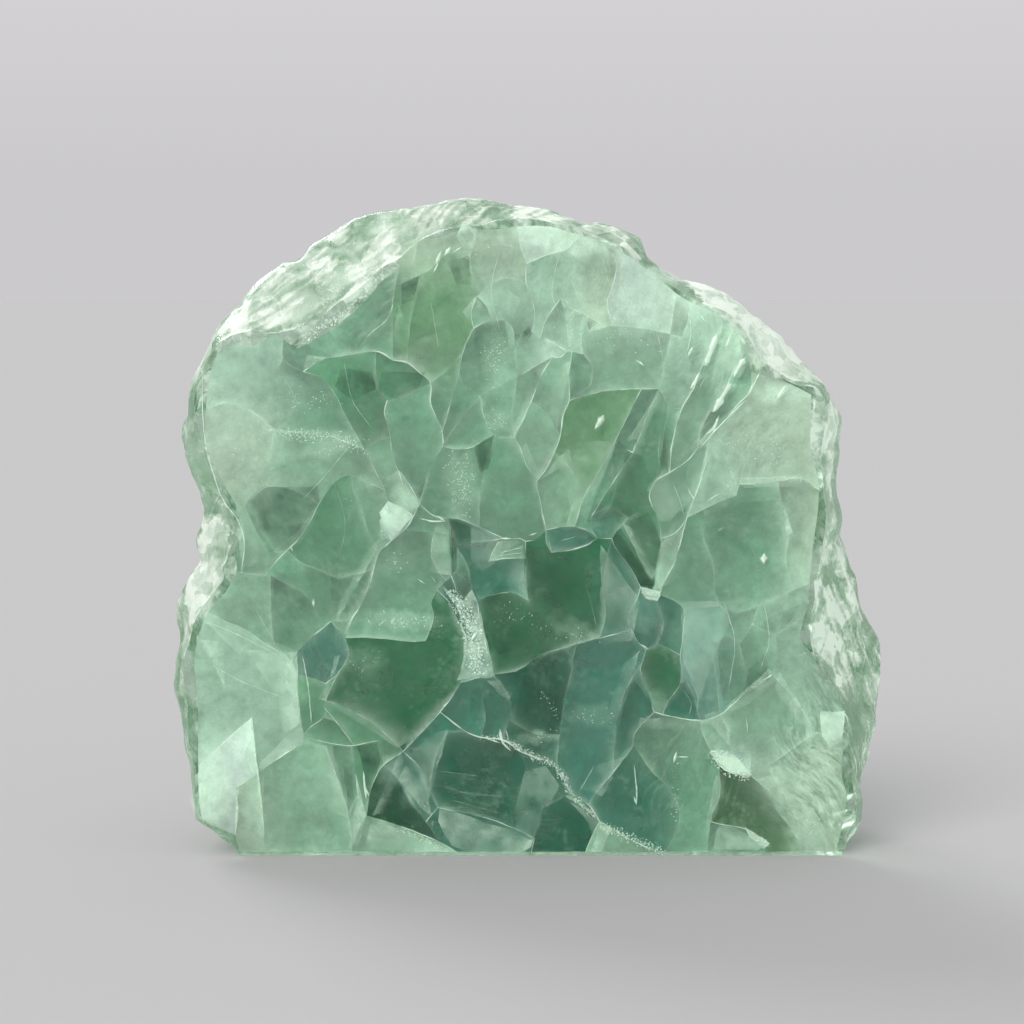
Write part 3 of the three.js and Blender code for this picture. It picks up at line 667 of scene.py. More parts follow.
boundaries = {name: [smooth(line) for line in lines] for name, lines in GRAIN_LINES.items()}
face_edge = smooth(FACE_EDGE)


def grain_outlines():
    """Every grain's outline, found by walking along the boundaries and always taking the same turn."""
    beside = {}
    for line in [face_edge] + [line for lines in boundaries.values() for line in lines]:
        for a, b in zip(line, line[1:]):
            beside.setdefault(a, set()).add(b)
            beside.setdefault(b, set()).add(a)
    outlines, walked = [], set()
    for a in beside:
        for b in sorted(beside[a]):
            loop, here, ahead = [], a, b
            while (here, ahead) not in walked:
                walked.add((here, ahead))
                loop.append(here)
                back = math.atan2(here[1] - ahead[1], here[0] - ahead[0])
                ways = [way for way in sorted(beside[ahead]) if way != here or len(beside[ahead]) == 1]
                here, ahead = ahead, min(ways, key=lambda way: (
                    math.atan2(way[1] - ahead[1], way[0] - ahead[0]) - back) % math.tau or math.tau)
            area = sum(p[0] * q[1] - q[0] * p[1] for p, q in zip(loop, loop[1:] + loop[:1])) / 2
            if area < 0:
                outlines.append(loop)
    return outlines


def edge_distance(points, ring):
    """How far each point lies from a closed outline."""
    start, along = ring, np.roll(ring, -1, axis=0) - ring
    length = np.maximum((along ** 2).sum(axis=1), 1e-9)
    offset = points[:, None, :] - start[None, :, :]
    t = np.clip((offset * along).sum(axis=2) / length, 0, 1)
    return np.sqrt(((offset - t[:, :, None] * along) ** 2).sum(axis=2)).min(axis=1)


# Soft pale clouds in the grains, and painted light, in mm: [x, z, half width, half height, turned in degrees,
# how pale, which is less than 0 for a darker one]. The pale ones on the rim, as at the lower left, are partly
# painted
# light: the glow of light shining through the thin edge.
CLOUDS_AND_PAINTED_LIGHT = [
    (-57, 11.5, 5, 9.5, 0, 0.6), (-41.5, 29.5, 3, 9, 0, 0.25), (35.5, 89.5, 6.5, 5, 40, 0.55),
    (46, 81.5, 7, 3, 8, 0.5), (29.5, 97.5, 4, 4.5, 20, 0.4), (52, 75, 2, 9, 0, 0.3),
    (12.5, 108.5, 11, 3.5, 15, 0.4), (-1.5, 109.5, 5.5, 3.5, 0, 0.25), (-52.5, 76.5, 5.5, 9, 0, 0.12),
    (-21.5, 63, 3, 4, 0, 0.35), (-34.5, 72, 6, 2, 15, 0.25), (-23, 41.5, 10, 2, 0, 0.22),
    (-23, 52, 4, 3, 20, 0.12), (-12, 66, 3.5, 7.5, 0, 0.2), (-5.5, 87, 3, 8.5, 0, 0.18),
    (-5.5, 76.5, 3, 3, 0, 0.2), (2, 21, 5, 1.5, 10, 0.25), (11, 25, 5, 2.5, 0, 0.12),
    (8, 40, 6, 2, -10, 0.14), (35, 66, 2, 3, 0, 0.25), (20, 41.5, 3, 3, 0, 0.12),
    (-28.5, 34.5, 4, 4, 0, 0.1), (12.5, 92, 8.5, 6, 0, 0.12), (-48.5, 75, 7, 7.5, 0, 0.12),
    (-53, 20.5, 5.5, 4, 30, 0.15), (47.5, 13.5, 6, 9, -40, 0.2), (42, 69.5, 5, 3, 0, 0.15),
    (28, 38, 4, 7.5, 0, 0.1), (-24, 15, 3, 3, 0, 0.2), (-20, 11, 2, 3.5, -30, 0.2),
    (5.5, 48, 5.5, 5, 0, -0.14), (21, 97.5, 7.5, 5.5, 0, 0.12), (7, 107.5, 11, 3, -15, 0.25),
    (40, 80, 5.5, 4.5, 40, 0.15), (-27.5, 65.5, 2.5, 2, 0, 0.15), (-15.5, 47, 1.5, 2.5, 0, 0.2),
]
# Where the crystal is drawn out in fibres, in mm: [x, z, half width, half height, the way they run in
# degrees, how strong].
FIBRES = [
    (51.5, 16, 7, 13.5, -52, 1), (53.5, 41.5, 5.5, 10, -58, 0.8), (32, 88.5, 6.5, 7.5, 62, 0.5),
    (37.5, 73, 7.5, 6.5, 50, 0.35), (-9.5, 10.5, 7.5, 5.5, -12, 0.15), (12.5, 102.5, 16.5, 7.5, 72, 0.25),
    (-40, 45, 11, 13, -55, 0.12), (-32.5, 97.5, 11, 5.5, 30, 0.3), (28.5, 13.5, 9, 11, 70, 0.18),
]
FIBRE_LENGTH, FIBRE_WIDTH = 4.0, 1.2  # mm
FIBRE_BEND, FIBRE_BEND_SIZE = 2.5, 9.0  # mm that the fibres bend, over a length
FIBRE_REACH = 1.3  # how far past their patch they thin out


def within(at, x, z, wide, tall, turned):
    """1 in the middle of a turned oval, falling to 0 at its edge."""
    angle = math.radians(turned)
    dx, dz = at[0] - x, at[1] - z
    u = dx * math.cos(angle) + dz * math.sin(angle)
    v = dz * math.cos(angle) - dx * math.sin(angle)
    return max(0.0, 1.0 - (u / wide) ** 2 - (v / tall) ** 2)


def fibres_at(at):
    """Where a place lies along and across the fibres around it, and how strong they are there."""
    most, flow = 0.0, (0.0, 0.0, 0.0)
    sway = noise.noise_vector(Vector((at[0], 4.0, at[1])) / FIBRE_BEND_SIZE)
    bent = Vector((at[0], 0, at[1])) + FIBRE_BEND * sway
    for x, z, wide, tall, turned, strong in FIBRES:
        oval = within((bent.x, bent.z), x, z, FIBRE_REACH * wide, FIBRE_REACH * tall, 0)
        drawn = strong * min(1.0, 1.6 * oval)
        if drawn > most:
            angle = math.radians(turned)
            u = bent.x * math.cos(angle) + bent.z * math.sin(angle)
            v = bent.z * math.cos(angle) - bent.x * math.sin(angle)
            most, flow = drawn, (u / FIBRE_LENGTH, turned, v / FIBRE_WIDTH)
    return most, flow


def inside_all(points, outline):
    """Which of many points lie inside an outline."""
    x, z = points[:, 0], points[:, 1]
    crossed = np.zeros(len(points), dtype=bool)
    for a, b in zip(outline, outline[1:] + outline[:1]):
        if a[1] != b[1]:
            crossed ^= ((a[1] > z) != (b[1] > z)) & (x < (b[0] - a[0]) * (z - a[1]) / (b[1] - a[1]) + a[0])
    return crossed


BLEND_GRID = 0.5  # mm
BLEND_ROUNDS, BLEND_RATE = 60, 0.24  # how far, and how fast, the colours of two grains run into each other


def blended(outlines, tones):
    """A grid over the face: whose each cell is, and its colour once it has run over the faint boundaries."""
    low = np.min(face_edge, axis=0) - BLEND_GRID
    wide, tall = np.ceil((np.max(face_edge, axis=0) - low) / BLEND_GRID).astype(int) + 2
    xs, zs = np.meshgrid(np.arange(wide), np.arange(tall), indexing="ij")
    cells = np.stack([xs.ravel(), zs.ravel()], axis=1) * BLEND_GRID + low
    owner = np.full(len(cells), -1)
    for number, outline in enumerate(outlines):
        boxed = (cells >= np.min(outline, axis=0)) & (cells <= np.max(outline, axis=0))
        near = np.all(boxed, axis=1).nonzero()[0]
        owner[near[inside_all(cells[near], outline)]] = number
    owner = owner.reshape(wide, tall)
    wall = np.zeros((wide, tall), dtype=bool)
    for line in boundaries["bright"] + boundaries["clear"]:
        for a, b in zip(line, line[1:]):
            for t in np.linspace(0.0, 1.0, 5):
                i, k = np.rint((np.array(a) * (1 - t) + np.array(b) * t - low) / BLEND_GRID).astype(int)
                wall[i - 1:i + 2, k] = True
                wall[i, k - 1:k + 2] = True
    colour = np.array(tones)[owner]
    for _ in range(BLEND_ROUNDS):
        for here, there in ((np.s_[:-1, :], np.s_[1:, :]), (np.s_[:, :-1], np.s_[:, 1:])):
            joined = (owner[here] == owner[there]) | ~(wall[here] | wall[there])
            joined &= (owner[here] >= 0) & (owner[there] >= 0)
            flow = BLEND_RATE * joined[..., None] * (colour[there] - colour[here])
            colour[here] += flow
            colour[there] -= flow
    return low, owner, colour


NEARBY = ((0, 0), (1, 0), (-1, 0), (0, 1), (0, -1), (1, 1), (-1, -1), (1, -1), (-1, 1))


def tone_at(at, number, tone, blend_map):
    """The colour at a place in a grain, from the nearest cell that belongs to it."""
    low, owner, colour = blend_map
    i, k = (int(round((v - edge) / BLEND_GRID)) for v, edge in zip(at, low))
    for di, dk in NEARBY:
        if owner[i + di, k + dk] == number:
            return colour[i + di, k + dk]
    return tone


SKIN, SKIN_LEAST = 1.1, 0.7  # mm of clear crystal between the polish and a grain's edge, and at the least
GRID = 0.6  # mm between points inside a grain
JITTER = 0.3  # of that, how far each is off its place
EDGE_ROW = 0.4  # mm, how far in the first row of points beside a boundary is
EDGE_CLEAR = 0.8  # of that, how near any other point may come
DISH, SLOPE = 0.5, 0.05  # how much of its depth a film's middle sinks by, and how steeply it may lie
CLOUDS, CLOUD_WAVES = ((9.0, 0.18), (3.2, 0.14)), [(5.0, 2.5)]  # [size mm, how much], [size mm, how far mm]
GRADE, GRADE_MOST = 0.2, 0.3  # how much lighter one side of a grain is than its middle
WISP, WISP_WIDTH, WISPS = 6.0, 0.1, 0.12  # size mm, width and whiteness of the feathery streaks
LINING, LINING_WIDTH = 0.28, 0.7  # tiny healed cracks beside a boundary: how strong at most, how far in, mm
CLOUD_AND_LIGHT_STRONG, CLOUD_AND_LIGHT_WAVER = 1.3, 1.2  # how strong the pale clouds and the painted light among them are, and how ragged, mm
PALE = linear("#cfe6d6")  # what a pale place turns to
DARKENED = 0.45  # how much of its colour a dark place keeps
PALEST, DARKEST = 0.9, -0.6  # a place is never paler or darker than this


def grain_points(outline, dice):
    """Points for one grain's film: its outline, a row just inside that, and loose ones in between."""
    ring = np.array(outline)
    along = np.roll(ring, -1, axis=0) - np.roll(ring, 1, axis=0)
    inward = np.stack([along[:, 1], -along[:, 0]], axis=1)
    inward /= np.maximum(np.linalg.norm(inward, axis=1), 1e-9)[:, None]
    loose = [tuple(p) for p in ring + EDGE_ROW * inward]
    low, high = ring.min(axis=0), ring.max(axis=0)
    for x in np.arange(low[0], high[0], GRID):
        for z in np.arange(low[1], high[1], GRID):
            loose.append((x + dice.uniform(-JITTER, JITTER) * GRID, z + dice.uniform(-JITTER, JITTER) * GRID))
    loose = [p for p, kept in zip(loose, inside_all(np.array(loose), outline)) if kept]
    if loose:
        clear_of = edge_distance(np.array(loose), ring)
        loose = [p for p, edge in zip(loose, clear_of) if edge > EDGE_CLEAR * EDGE_ROW]
    made, _, corners, _, _, _ = geometry.delaunay_2d_cdt(
        [Vector(p) for p in outline + loose], [], [list(range(len(outline)))], 1, 1e-5)
    points = np.array([(p.x, p.y) for p in made])
    return points, edge_distance(points, ring), corners


def paleness(at, spot, bent, edge):
    """How pale a place in a grain is, below 0 where it is dark: wisps, the lining of its edge, clouds, and
    painted light along the rim.
    """
    streak = max(0.0, 1.0 - abs(noise.fractal(bent / WISP + Vector((5, 5, 5)), 0.7, 2.2, 4)) / WISP_WIDTH)
    streak *= WISPS * patchy(spot, 8.0, 0.2, 1.8)
    lining = LINING * patchy(spot / 7.0 + Vector((0, 9, 0)), 1.0, 0.15, 2.0)
    lining *= math.exp(-edge / LINING_WIDTH)
    ragged = Vector((at[0], 0, at[1])) + CLOUD_AND_LIGHT_WAVER * noise.noise_vector(spot / 2.0)
    pale = streak + lining
    for x, z, wide, tall, turned, strong in CLOUDS_AND_PAINTED_LIGHT:
        pale += CLOUD_AND_LIGHT_STRONG * strong * within((ragged.x, ragged.z), x, z, wide, tall, turned)
    return min(PALEST, max(DARKEST, pale))


def grain(number, outline, kind, blend_map, dice, built):
    """Adds one grain's film to what is built: places, sides, and how each corner looks."""
    places, sides, tones, covers, flows, drawns = built
    milk, deep = GRAIN_LOOKS[kind][1:]
    own = dice.uniform(0, 500)
    points, away, corners = grain_points(outline, dice)
    middle, heart = points.mean(axis=0), max(away.max(), 0.5)
    tip, fall = dice.uniform(0, math.tau), dice.uniform(0, math.tau)
    slope = SLOPE * dice.uniform(0.3, 1.0) * np.array([math.cos(tip), math.sin(tip)])
    grade = GRADE * dice.uniform(0.2, 1.0) / heart * np.array([math.cos(fall), math.sin(fall)])
    start = len(places)
    for at, edge in zip(points, away):
        spot = Vector((at[0], own, at[1]))
        sunk = min(1.0, edge / heart) ** 0.7
        depth = SKIN + sunk * (DISH * deep + slope @ (at - middle))
        places.append((at[0], max(depth, SKIN_LEAST), at[1]))
        bent = wandering(spot, CLOUD_WAVES)
        cloud = sum(much * noise.fractal(bent / size, 0.9, 2.0, 4) for size, much in CLOUDS)
        tone = tone_at(at, number, grain_tones[number], blend_map)
        shade = tone * max(0.5, 1.0 + cloud + np.clip(grade @ (at - middle), -GRADE_MOST, GRADE_MOST))
        pale = paleness(at, spot, bent, edge)
        drawn, flow = fibres_at(at)
        drawns.append(drawn)
        flows.append(flow)
        aim = np.array(PALE[:3]) if pale > 0 else DARKENED * tone
        tones.append((*(shade + (aim - shade) * abs(pale)), 1.0))
        covers.append(min(1.0, milk * (1.0 + 0.4 * cloud) + 0.3 * abs(pale)))
    sides.extend(tuple(start + i for i in face) for face in corners)


FILM_SHARP = math.radians(30)
WIDE_ATTRIBUTES = {"tone": ("FLOAT_COLOR", "color"), "flow": ("FLOAT_VECTOR", "vector")}


def film_mesh(name, places, sides, attributes):
    """A mesh of thin films from places given in mm behind the polished face."""
    mesh = bpy.data.meshes.new(name)
    mesh.from_pydata([(x * MM, FACE + y * MM, z * MM) for x, y, z in places], [], sides)
    for key, values in attributes.items():
        kind, field = WIDE_ATTRIBUTES.get(key, ("FLOAT", "value"))
        mesh.attributes.new(key, kind, "POINT").data.foreach_set(field, np.array(values, dtype=float).ravel())
    mesh.shade_smooth()
    mesh.set_sharp_from_angle(angle=FILM_SHARP)
    return mesh


def kind_of(outline):
    """The kind whose list of points has one inside this outline."""
    for kind, points in GRAINS.items():
        if any(inside(point, outline) for point in points):
            return kind
    return GRAIN_DEFAULT


dice = random.Random(20)
built = ([], [], [], [], [], [])
outlines = grain_outlines()
kinds = [kind_of(outline) for outline in outlines]
grain_tones = [np.array(linear(GRAIN_LOOKS[kind][0])[:3]) * dice.uniform(0.94, 1.06) for kind in kinds]
blend_map = blended(outlines, grain_tones)
for number, (outline, kind) in enumerate(zip(outlines, kinds)):
    grain(number, outline, kind, blend_map, dice, built)
places, sides, tones, covers, flows, drawns = built
grains = mesh_object("grains", film_mesh("grains", places, sides, {
    "tone": tones, "cover": covers, "flow": flows, "drawn": drawns}))

# The clouded skin of a grain: a matt film of specks and healed cracks that lets part of the light through.
clouded, tree = material("clouded fluorite")
place = node(tree, "ShaderNodeTexCoord").outputs["Object"]
tone = node(tree, "ShaderNodeAttribute", attribute_name="tone").outputs["Color"]
cover = node(tree, "ShaderNodeAttribute", attribute_name="cover").outputs["Fac"]
haze = speckle(tree, place, 1.6 * MM, 0.3, 0.7, Detail=5.0, Roughness=0.6)
specks = speckle(tree, place, 0.35 * MM, 0.25, 0.75, Detail=2.0)
haze = node(tree, "ShaderNodeMath", {0: haze, 1: 0.26}, operation="MULTIPLY").outputs[0]
specks = node(tree, "ShaderNodeMath", {0: specks, 1: 0.16}, operation="MULTIPLY").outputs[0]
value = node(tree, "ShaderNodeMath", {0: haze, 1: specks}, operation="ADD").outputs[0]
value = node(tree, "ShaderNodeMath", {0: value, 1: 0.79}, operation="ADD").outputs[0]
tone = node(tree, "ShaderNodeHueSaturation", {"Color": tone, "Value": value}).outputs[0]
flow = node(tree, "ShaderNodeAttribute", attribute_name="flow").outputs["Vector"]
drawn = node(tree, "ShaderNodeAttribute", attribute_name="drawn").outputs["Fac"]
fibre = speckle(tree, flow, 1.0, 0.3, 0.7, Detail=6.0, Roughness=0.7, Distortion=0.6)
fibre = node(tree, "ShaderNodeMath", {0: fibre, 1: 0.5}, operation="SUBTRACT").outputs[0]
fibre = node(tree, "ShaderNodeMath", {0: fibre, 1: drawn}, operation="MULTIPLY").outputs[0]
for strong, aim in ((1.7, PALE), (-1.3, linear("#3d6644"))):
    share = node(tree, "ShaderNodeMath", {0: fibre, 1: strong},
                 operation="MULTIPLY", use_clamp=True).outputs[0]
    tone = node(tree, "ShaderNodeMix", {0: share, 6: tone, 7: aim}, data_type="RGBA").outputs[2]
matt = node(tree, "ShaderNodeBsdfDiffuse", {"Color": tone}).outputs[0]
glow = node(tree, "ShaderNodeBsdfTranslucent", {"Color": tone}).outputs[0]
film = node(tree, "ShaderNodeMixShader", {0: 0.35, 1: matt, 2: glow}).outputs[0]
clear = node(tree, "ShaderNodeBsdfTransparent").outputs[0]
surface = node(tree, "ShaderNodeMixShader", {0: cover, 1: clear, 2: film}).outputs[0]
node(tree, "ShaderNodeOutputMaterial", {"Surface": surface})
grains.data.materials.append(clouded)
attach(grains, "root")

# ---- Veils ----------------------------------------------------------------------------------------------
# Old cracks and growth planes that stand at a slant inside the grains, seen as paler or darker films with
# one sharp edge. They are clouded crystal like the grains.

# [how strong at the sharp edge, less than 0 for a dark veil, how strong at the far side, points (x, z) in mm,
# the sharp edge's two first].
VEILS = [
    (0.5, 0.4, [(-8, 41.5), (-6, 31.5), (-12.5, 31), (-11.5, 34.5), (-11, 40), (-13, 44.5), (-15.5, 48),
        (-11.5, 45), (-10, 47), (-9, 45)]),
    (0.8, 0.5, [(-20, 60), (-24.5, 62.5), (-26, 59), (-25.5, 55.5), (-22.5, 57)]),
    (0.45, 0.2, [(-57.5, 38), (-53, 29.5), (-53.5, 38)]),
    (0.4, 0.1, [(-49.5, 36.5), (-40.5, 36), (-40, 27.5), (-45, 29.5)]),
    (0.3, 0.05, [(-60.5, 45), (-50.5, 35.5), (-48.5, 38), (-56.5, 44.5)]),
    (0.6, 0.05, [(-40.5, 35.5), (-40, 23.5), (-43, 21.5), (-44, 29.5)]),
    (0.25, 0.05, [(-59.5, 10), (-53, 15), (-54, 10), (-58, 4.5)]),
    (0.35, 0.05, [(-33.5, 41.5), (-27.5, 52), (-25.5, 56.5), (-28.5, 53.5), (-31, 48.5), (-33, 44.5)]),
    (-0.28, 0.28, [(-46.5, 65), (-49.5, 62), (-47, 56.5), (-45, 53.5), (-40, 57.5), (-36.5, 62.5),
        (-36.5, 65)]),
    (-0.25, 0.03, [(-44.5, 50), (-44.5, 38), (-40, 36), (-34.5, 41.5), (-32, 46), (-33, 50)]),
    (-0.2, 0.1, [(-34.5, 49.5), (-34.5, 45), (-31, 45.5), (-31, 49)]),
    (0.5, 0.1, [(-19, 61.5), (-22.5, 68), (-25, 66.5), (-23, 63.5), (-20.5, 61)]),
    (0.2, 0.1, [(-25.5, 66), (-28.5, 65.5), (-27, 62.5), (-24.5, 62.5)]),
    (0.3, 0, [(-51, 62.5), (-50, 50.5), (-46.5, 52), (-46.5, 59)]),
    (0.5, 0.1, [(-48.5, 24.5), (-47.5, 15), (-49.5, 13.5), (-50.5, 16), (-49.5, 20.5)]),
    (0.55, 0.15, [(-41, 35), (-40.5, 27.5), (-42, 29.5), (-43, 33.5)]),
    (0.35, 0.05, [(-39.5, 20), (-47, 15), (-47.5, 16), (-42.5, 21), (-40.5, 25.5)]),
    (0.3, 0.05, [(-34.5, 19.5), (-31.5, 6.5), (-35, 7.5), (-37, 12.5), (-38.5, 18)]),
    (0.3, 0.05, [(-46.5, 14), (-46.5, 3.5), (-48, 3.5), (-48, 11.5)]),
    (-0.35, 0.2, [(-32.5, 16), (-31.5, 6), (-30.5, 10), (-31, 15.5)]),
    (0.45, 0.25, [(-30.5, 15), (-28.5, 7.5), (-30, 4), (-31.5, 1), (-31, 6), (-30, 10.5)]),
    (-0.45, 0.3, [(-30, 19.5), (-26.5, 20), (-26, 17), (-27.5, 11.5), (-28.5, 10.5), (-29, 15)]),
    (0.35, 0.1, [(-33, 35.5), (-35.5, 27.5), (-37, 27.5), (-34.5, 32.5), (-34, 35.5)]),
    (0.22, 0, [(-35, 27), (-23, 19), (-19, 21.5), (-26, 27.5), (-32, 29.5)]),
    (0.4, 0.1, [(-27.5, 6.5), (-13, 0.5), (-19, 0.5), (-29, 1)]),
    (-0.5, 0.35, [(-23, 13), (-27.5, 7), (-17.5, 3), (-14, 0.5), (-17.5, 5), (-20.5, 8.5)]),
    (0.35, 0.1, [(-23, 13.5), (-18, 7.5), (-17, 7), (-18, 12), (-21.5, 16)]),
    (0.3, 0.05, [(-22.5, 18.5), (-27.5, 7), (-25.5, 7.5), (-23, 13.5), (-22, 16.5)]),
    (0.32, 0.03, [(-14, 22.5), (-17.5, 10), (-19.5, 14.5), (-21, 17.5), (-18, 21)]),
    (0.35, 0.25, [(-15.5, 8.5), (1, 3), (0, 0.5), (-10.5, 0.5), (-13.5, 1.5), (-16, 6)]),
    (0.75, 0.3, [(1, 3), (0.5, 1.5), (-1.5, 0.5), (-0.5, 2.5)]),
    (0.28, 0.05, [(3, 16), (5.5, 12.5), (1, 3), (-2.5, 4), (-2, 10), (-0.5, 15)]),
    (0.35, 0.03, [(6.5, 10), (12.5, 6), (12, 2.5), (10, 6.5)]),
    (0.5, 0.3, [(12.5, 5.5), (14.5, 5), (13, 0.5), (11, 0.5)]),
    (-0.4, 0.25, [(6.5, 36), (7.5, 33), (6, 27.5), (5.5, 21.5), (-2.5, 21.5), (-2, 27.5), (-1, 31),
        (3, 35.5)]),
    (0.25, 0.05, [(19.5, 36.5), (15, 20), (13.5, 20), (14.5, 27.5), (16.5, 33.5)]),
    (-0.3, 0.15, [(18.5, 31), (21.5, 27), (21.5, 25), (18.5, 21.5), (18, 19.5), (15, 17), (15.5, 24),
        (17, 29.5)]),
    (0.25, 0.05, [(16.5, 17.5), (13, 10.5), (11, 11.5), (9, 11.5), (12, 16)]),
    (0.25, 0, [(-7.5, 31), (-3.5, 27.5), (-2.5, 29.5), (-4, 31)]),
    (-0.2, 0.1, [(-10, 29.5), (-7.5, 29.5), (-7, 24), (-10.5, 24)]),
    (0.35, 0.15, [(-14.5, 59), (-13.5, 49.5), (-17, 50), (-17, 55), (-16, 58.5)]),
    (-0.45, 0.4, [(-14, 59), (-10, 58.5), (-10, 55), (-12.5, 54.5), (-13.5, 52)]),
    (0.18, 0.1, [(-10, 58), (-5.5, 56), (-5.5, 52), (-8, 50), (-10, 52)]),
    (0.45, 0.1, [(-5.5, 55.5), (-7, 52), (-5, 53), (-2, 55), (-1, 55.5)]),
    (0.22, 0, [(-1, 55), (-0.5, 46.5), (-5, 48.5), (-6.5, 52), (-5, 53.5)]),
    (-0.35, 0, [(-1, 55), (0, 45.5), (5.5, 43.5), (12.5, 52), (5.5, 54)]),
    (0.28, 0.05, [(12.5, 55), (19.5, 45), (18, 38), (12.5, 37.5), (12.5, 45)]),
    (-0.35, 0.1, [(-8, 45), (-6.5, 38), (-5, 35.5), (0, 38), (-2.5, 45), (-4, 49.5)]),
    (-0.4, 0.3, [(-9.5, 72), (-6, 74), (-7, 68), (-8.5, 67.5)]),
    (0.2, 0, [(-0.5, 73), (2, 66.5), (-1, 68), (-1.5, 71.5)]),
    (0.22, 0.05, [(5.5, 70.5), (2, 66.5), (5, 68), (8, 66), (7, 71.5)]),
    (0.2, 0.05, [(15.5, 73), (9.5, 59), (8, 59), (5.5, 68), (10, 73)]),
    (-0.28, 0.1, [(15.5, 73), (10, 59), (12.5, 59), (18, 71.5)]),
    (-0.3, 0.15, [(17, 71.5), (14.5, 62), (12.5, 59), (19.5, 60.5), (21.5, 66), (19.5, 70.5)]),
    (0.4, 0.15, [(16, 59), (21.5, 48.5), (22.5, 50), (18.5, 57.5)]),
    (-0.45, 0.35, [(15.5, 57.5), (22, 47.5), (19.5, 48), (14.5, 55.5)]),
    (-0.3, 0.2, [(17.5, 59), (21, 60.5), (23, 55.5), (22, 50.5), (19, 55)]),
    (0.3, 0.05, [(23, 59), (20.5, 64.5), (23, 68), (26.5, 68), (28, 62.5), (24.5, 59)]),
    (0.9, 0.6, [(19.5, 47.5), (23, 46.5), (22.5, 45.5), (20, 46)]),
    (0.3, 0.1, [(23, 55), (22, 47), (24.5, 48), (27, 57.5), (28, 61), (25.5, 59)]),
    (0.35, 0, [(19.5, 24.5), (30, 24), (30, 22), (19.5, 22)]),
    (0.3, 0.15, [(30.5, 25), (35, 19.5), (35.5, 23), (34.5, 26)]),
    (0.9, 0.6, [(32, 18.5), (36, 18), (39, 14.5), (38.5, 13.5), (34.5, 15)]),
    (0.35, 0.05, [(33, 14.5), (31, 4.5), (32.5, 6), (34.5, 11.5)]),
    (0.35, 0.2, [(34, 6), (42, 2), (40.5, 1), (32.5, 1), (33, 4.5)]),
    (0.9, 0.5, [(38, 5), (42.5, 2), (41.5, 1), (39, 3)]),
    (0.35, 0, [(40, 13.5), (48.5, 1), (53, 1), (51, 10), (46, 15)]),
    (0.4, 0.1, [(42, 15.5), (50, 1), (51.5, 2.5), (47.5, 10), (44, 16)]),
    (0.4, 0.15, [(44, 32.5), (51, 21.5), (49.5, 20.5), (43, 29.5)]),
    (0.3, 0.1, [(34.5, 26.5), (42, 33), (44, 31), (38, 26.5), (35.5, 25.5)]),
    (0.22, 0.1, [(26.5, 45), (27, 34.5), (30, 27.5), (33.5, 38), (37, 45)]),
    (-0.25, 0.1, [(33, 36.5), (34, 27.5), (38, 27.5), (36.5, 36.5)]),
    (-0.3, 0.2, [(37, 27.5), (42, 31), (41.5, 35.5), (38.5, 33)]),
    (-0.25, 0.1, [(41, 41.5), (47.5, 44.5), (45.5, 41), (41.5, 38)]),
    (0.9, 0.8, [(51, 25.5), (55.5, 25.5), (55, 20), (53, 19), (51.5, 21)]),
    (0.4, 0.05, [(36.5, 80), (29.5, 73), (31, 71.5), (38, 77)]),
    (0.5, 0.15, [(31, 73), (29, 62.5), (30.5, 62.5), (32, 69.5)]),
    (0.3, 0.05, [(32, 73), (28, 62.5), (26.5, 62.5), (28, 70.5)]),
    (0.6, 0.3, [(44, 62.5), (46, 57), (45, 56)]),
    (0.3, 0.05, [(36.5, 66.5), (47, 67), (49, 63), (46.5, 65), (37.5, 65)]),
    (-0.22, 0, [(35, 62.5), (43, 62.5), (44.5, 55), (37, 54), (32.5, 57.5)]),
    (0.5, 0.3, [(-11.5, 110.5), (-9, 109.5), (-9.5, 106), (-11.5, 106), (-12.5, 108.5)]),
    (0.4, 0.15, [(-11.5, 95.5), (-9, 98), (-7.5, 95.5), (-10, 93.5)]),
    (0.35, 0.1, [(-3.5, 99), (-1.5, 97.5), (-2.5, 94), (-4, 95)]),
    (-0.35, 0.2, [(-14, 104), (-10.5, 105), (-10, 100), (-12.5, 100)]),
    (0.55, 0.25, [(2.5, 91), (6.5, 89), (5.5, 87.5), (3.5, 88)]),
    (0.45, 0.2, [(5.5, 97), (10.5, 94.5), (9, 89.5), (7, 88.5), (6.5, 94)]),
    (-0.4, 0.3, [(-1, 92), (0, 93), (0.5, 91.5), (-1.5, 89)]),
    (0.28, 0.05, [(5, 75.5), (7.5, 87), (5.5, 86.5), (3, 80)]),
    (-0.25, 0.1, [(1, 85), (3, 82.5), (1, 78.5), (0, 81)]),
    (-0.25, 0.05, [(-9, 93), (-4, 94), (-3.5, 89.5), (-6.5, 87), (-10, 88)]),
    (-0.28, 0.05, [(7.5, 86.5), (7, 80.5), (10.5, 81), (11, 85.5)]),
    (0.25, 0.05, [(22.5, 81.5), (17, 73), (19.5, 73), (24, 82.5)]),
    (0.9, 0.5, [(32.5, 91.5), (30, 86), (31, 86), (33, 89.5)]),
    (0.65, 0.4, [(29.5, 85), (28, 82), (28.5, 82), (30, 84)]),
    (0.85, 0.5, [(37.5, 87.5), (35.5, 84), (36.5, 84), (38, 86.5)]),
    (0.75, 0.4, [(35, 83), (31.5, 78), (32.5, 78), (36, 82.5)]),
    (0.55, 0.2, [(45, 83), (42.5, 80.5), (43, 80), (45, 81.5)]),
    (0.35, 0.1, [(28, 97.5), (33, 95.5), (33.5, 91.5), (29.5, 90.5), (27.5, 92)]),
    (0.25, 0.05, [(33, 89.5), (37.5, 88), (33, 80), (31, 81)]),
    (-0.2, 0.1, [(36.5, 90.5), (39, 88.5), (38.5, 83.5), (35.5, 82), (37, 86)]),
    (0.3, 0.1, [(19, 104), (26, 101.5), (24.5, 97.5), (19, 97.5)]),
    (0.25, 0, [(16, 104), (15, 95.5), (17.5, 95), (18, 104)]),
    (-0.4, 0.3, [(-22, 100), (-19, 101.5), (-20, 97.5), (-22, 96.5)]),
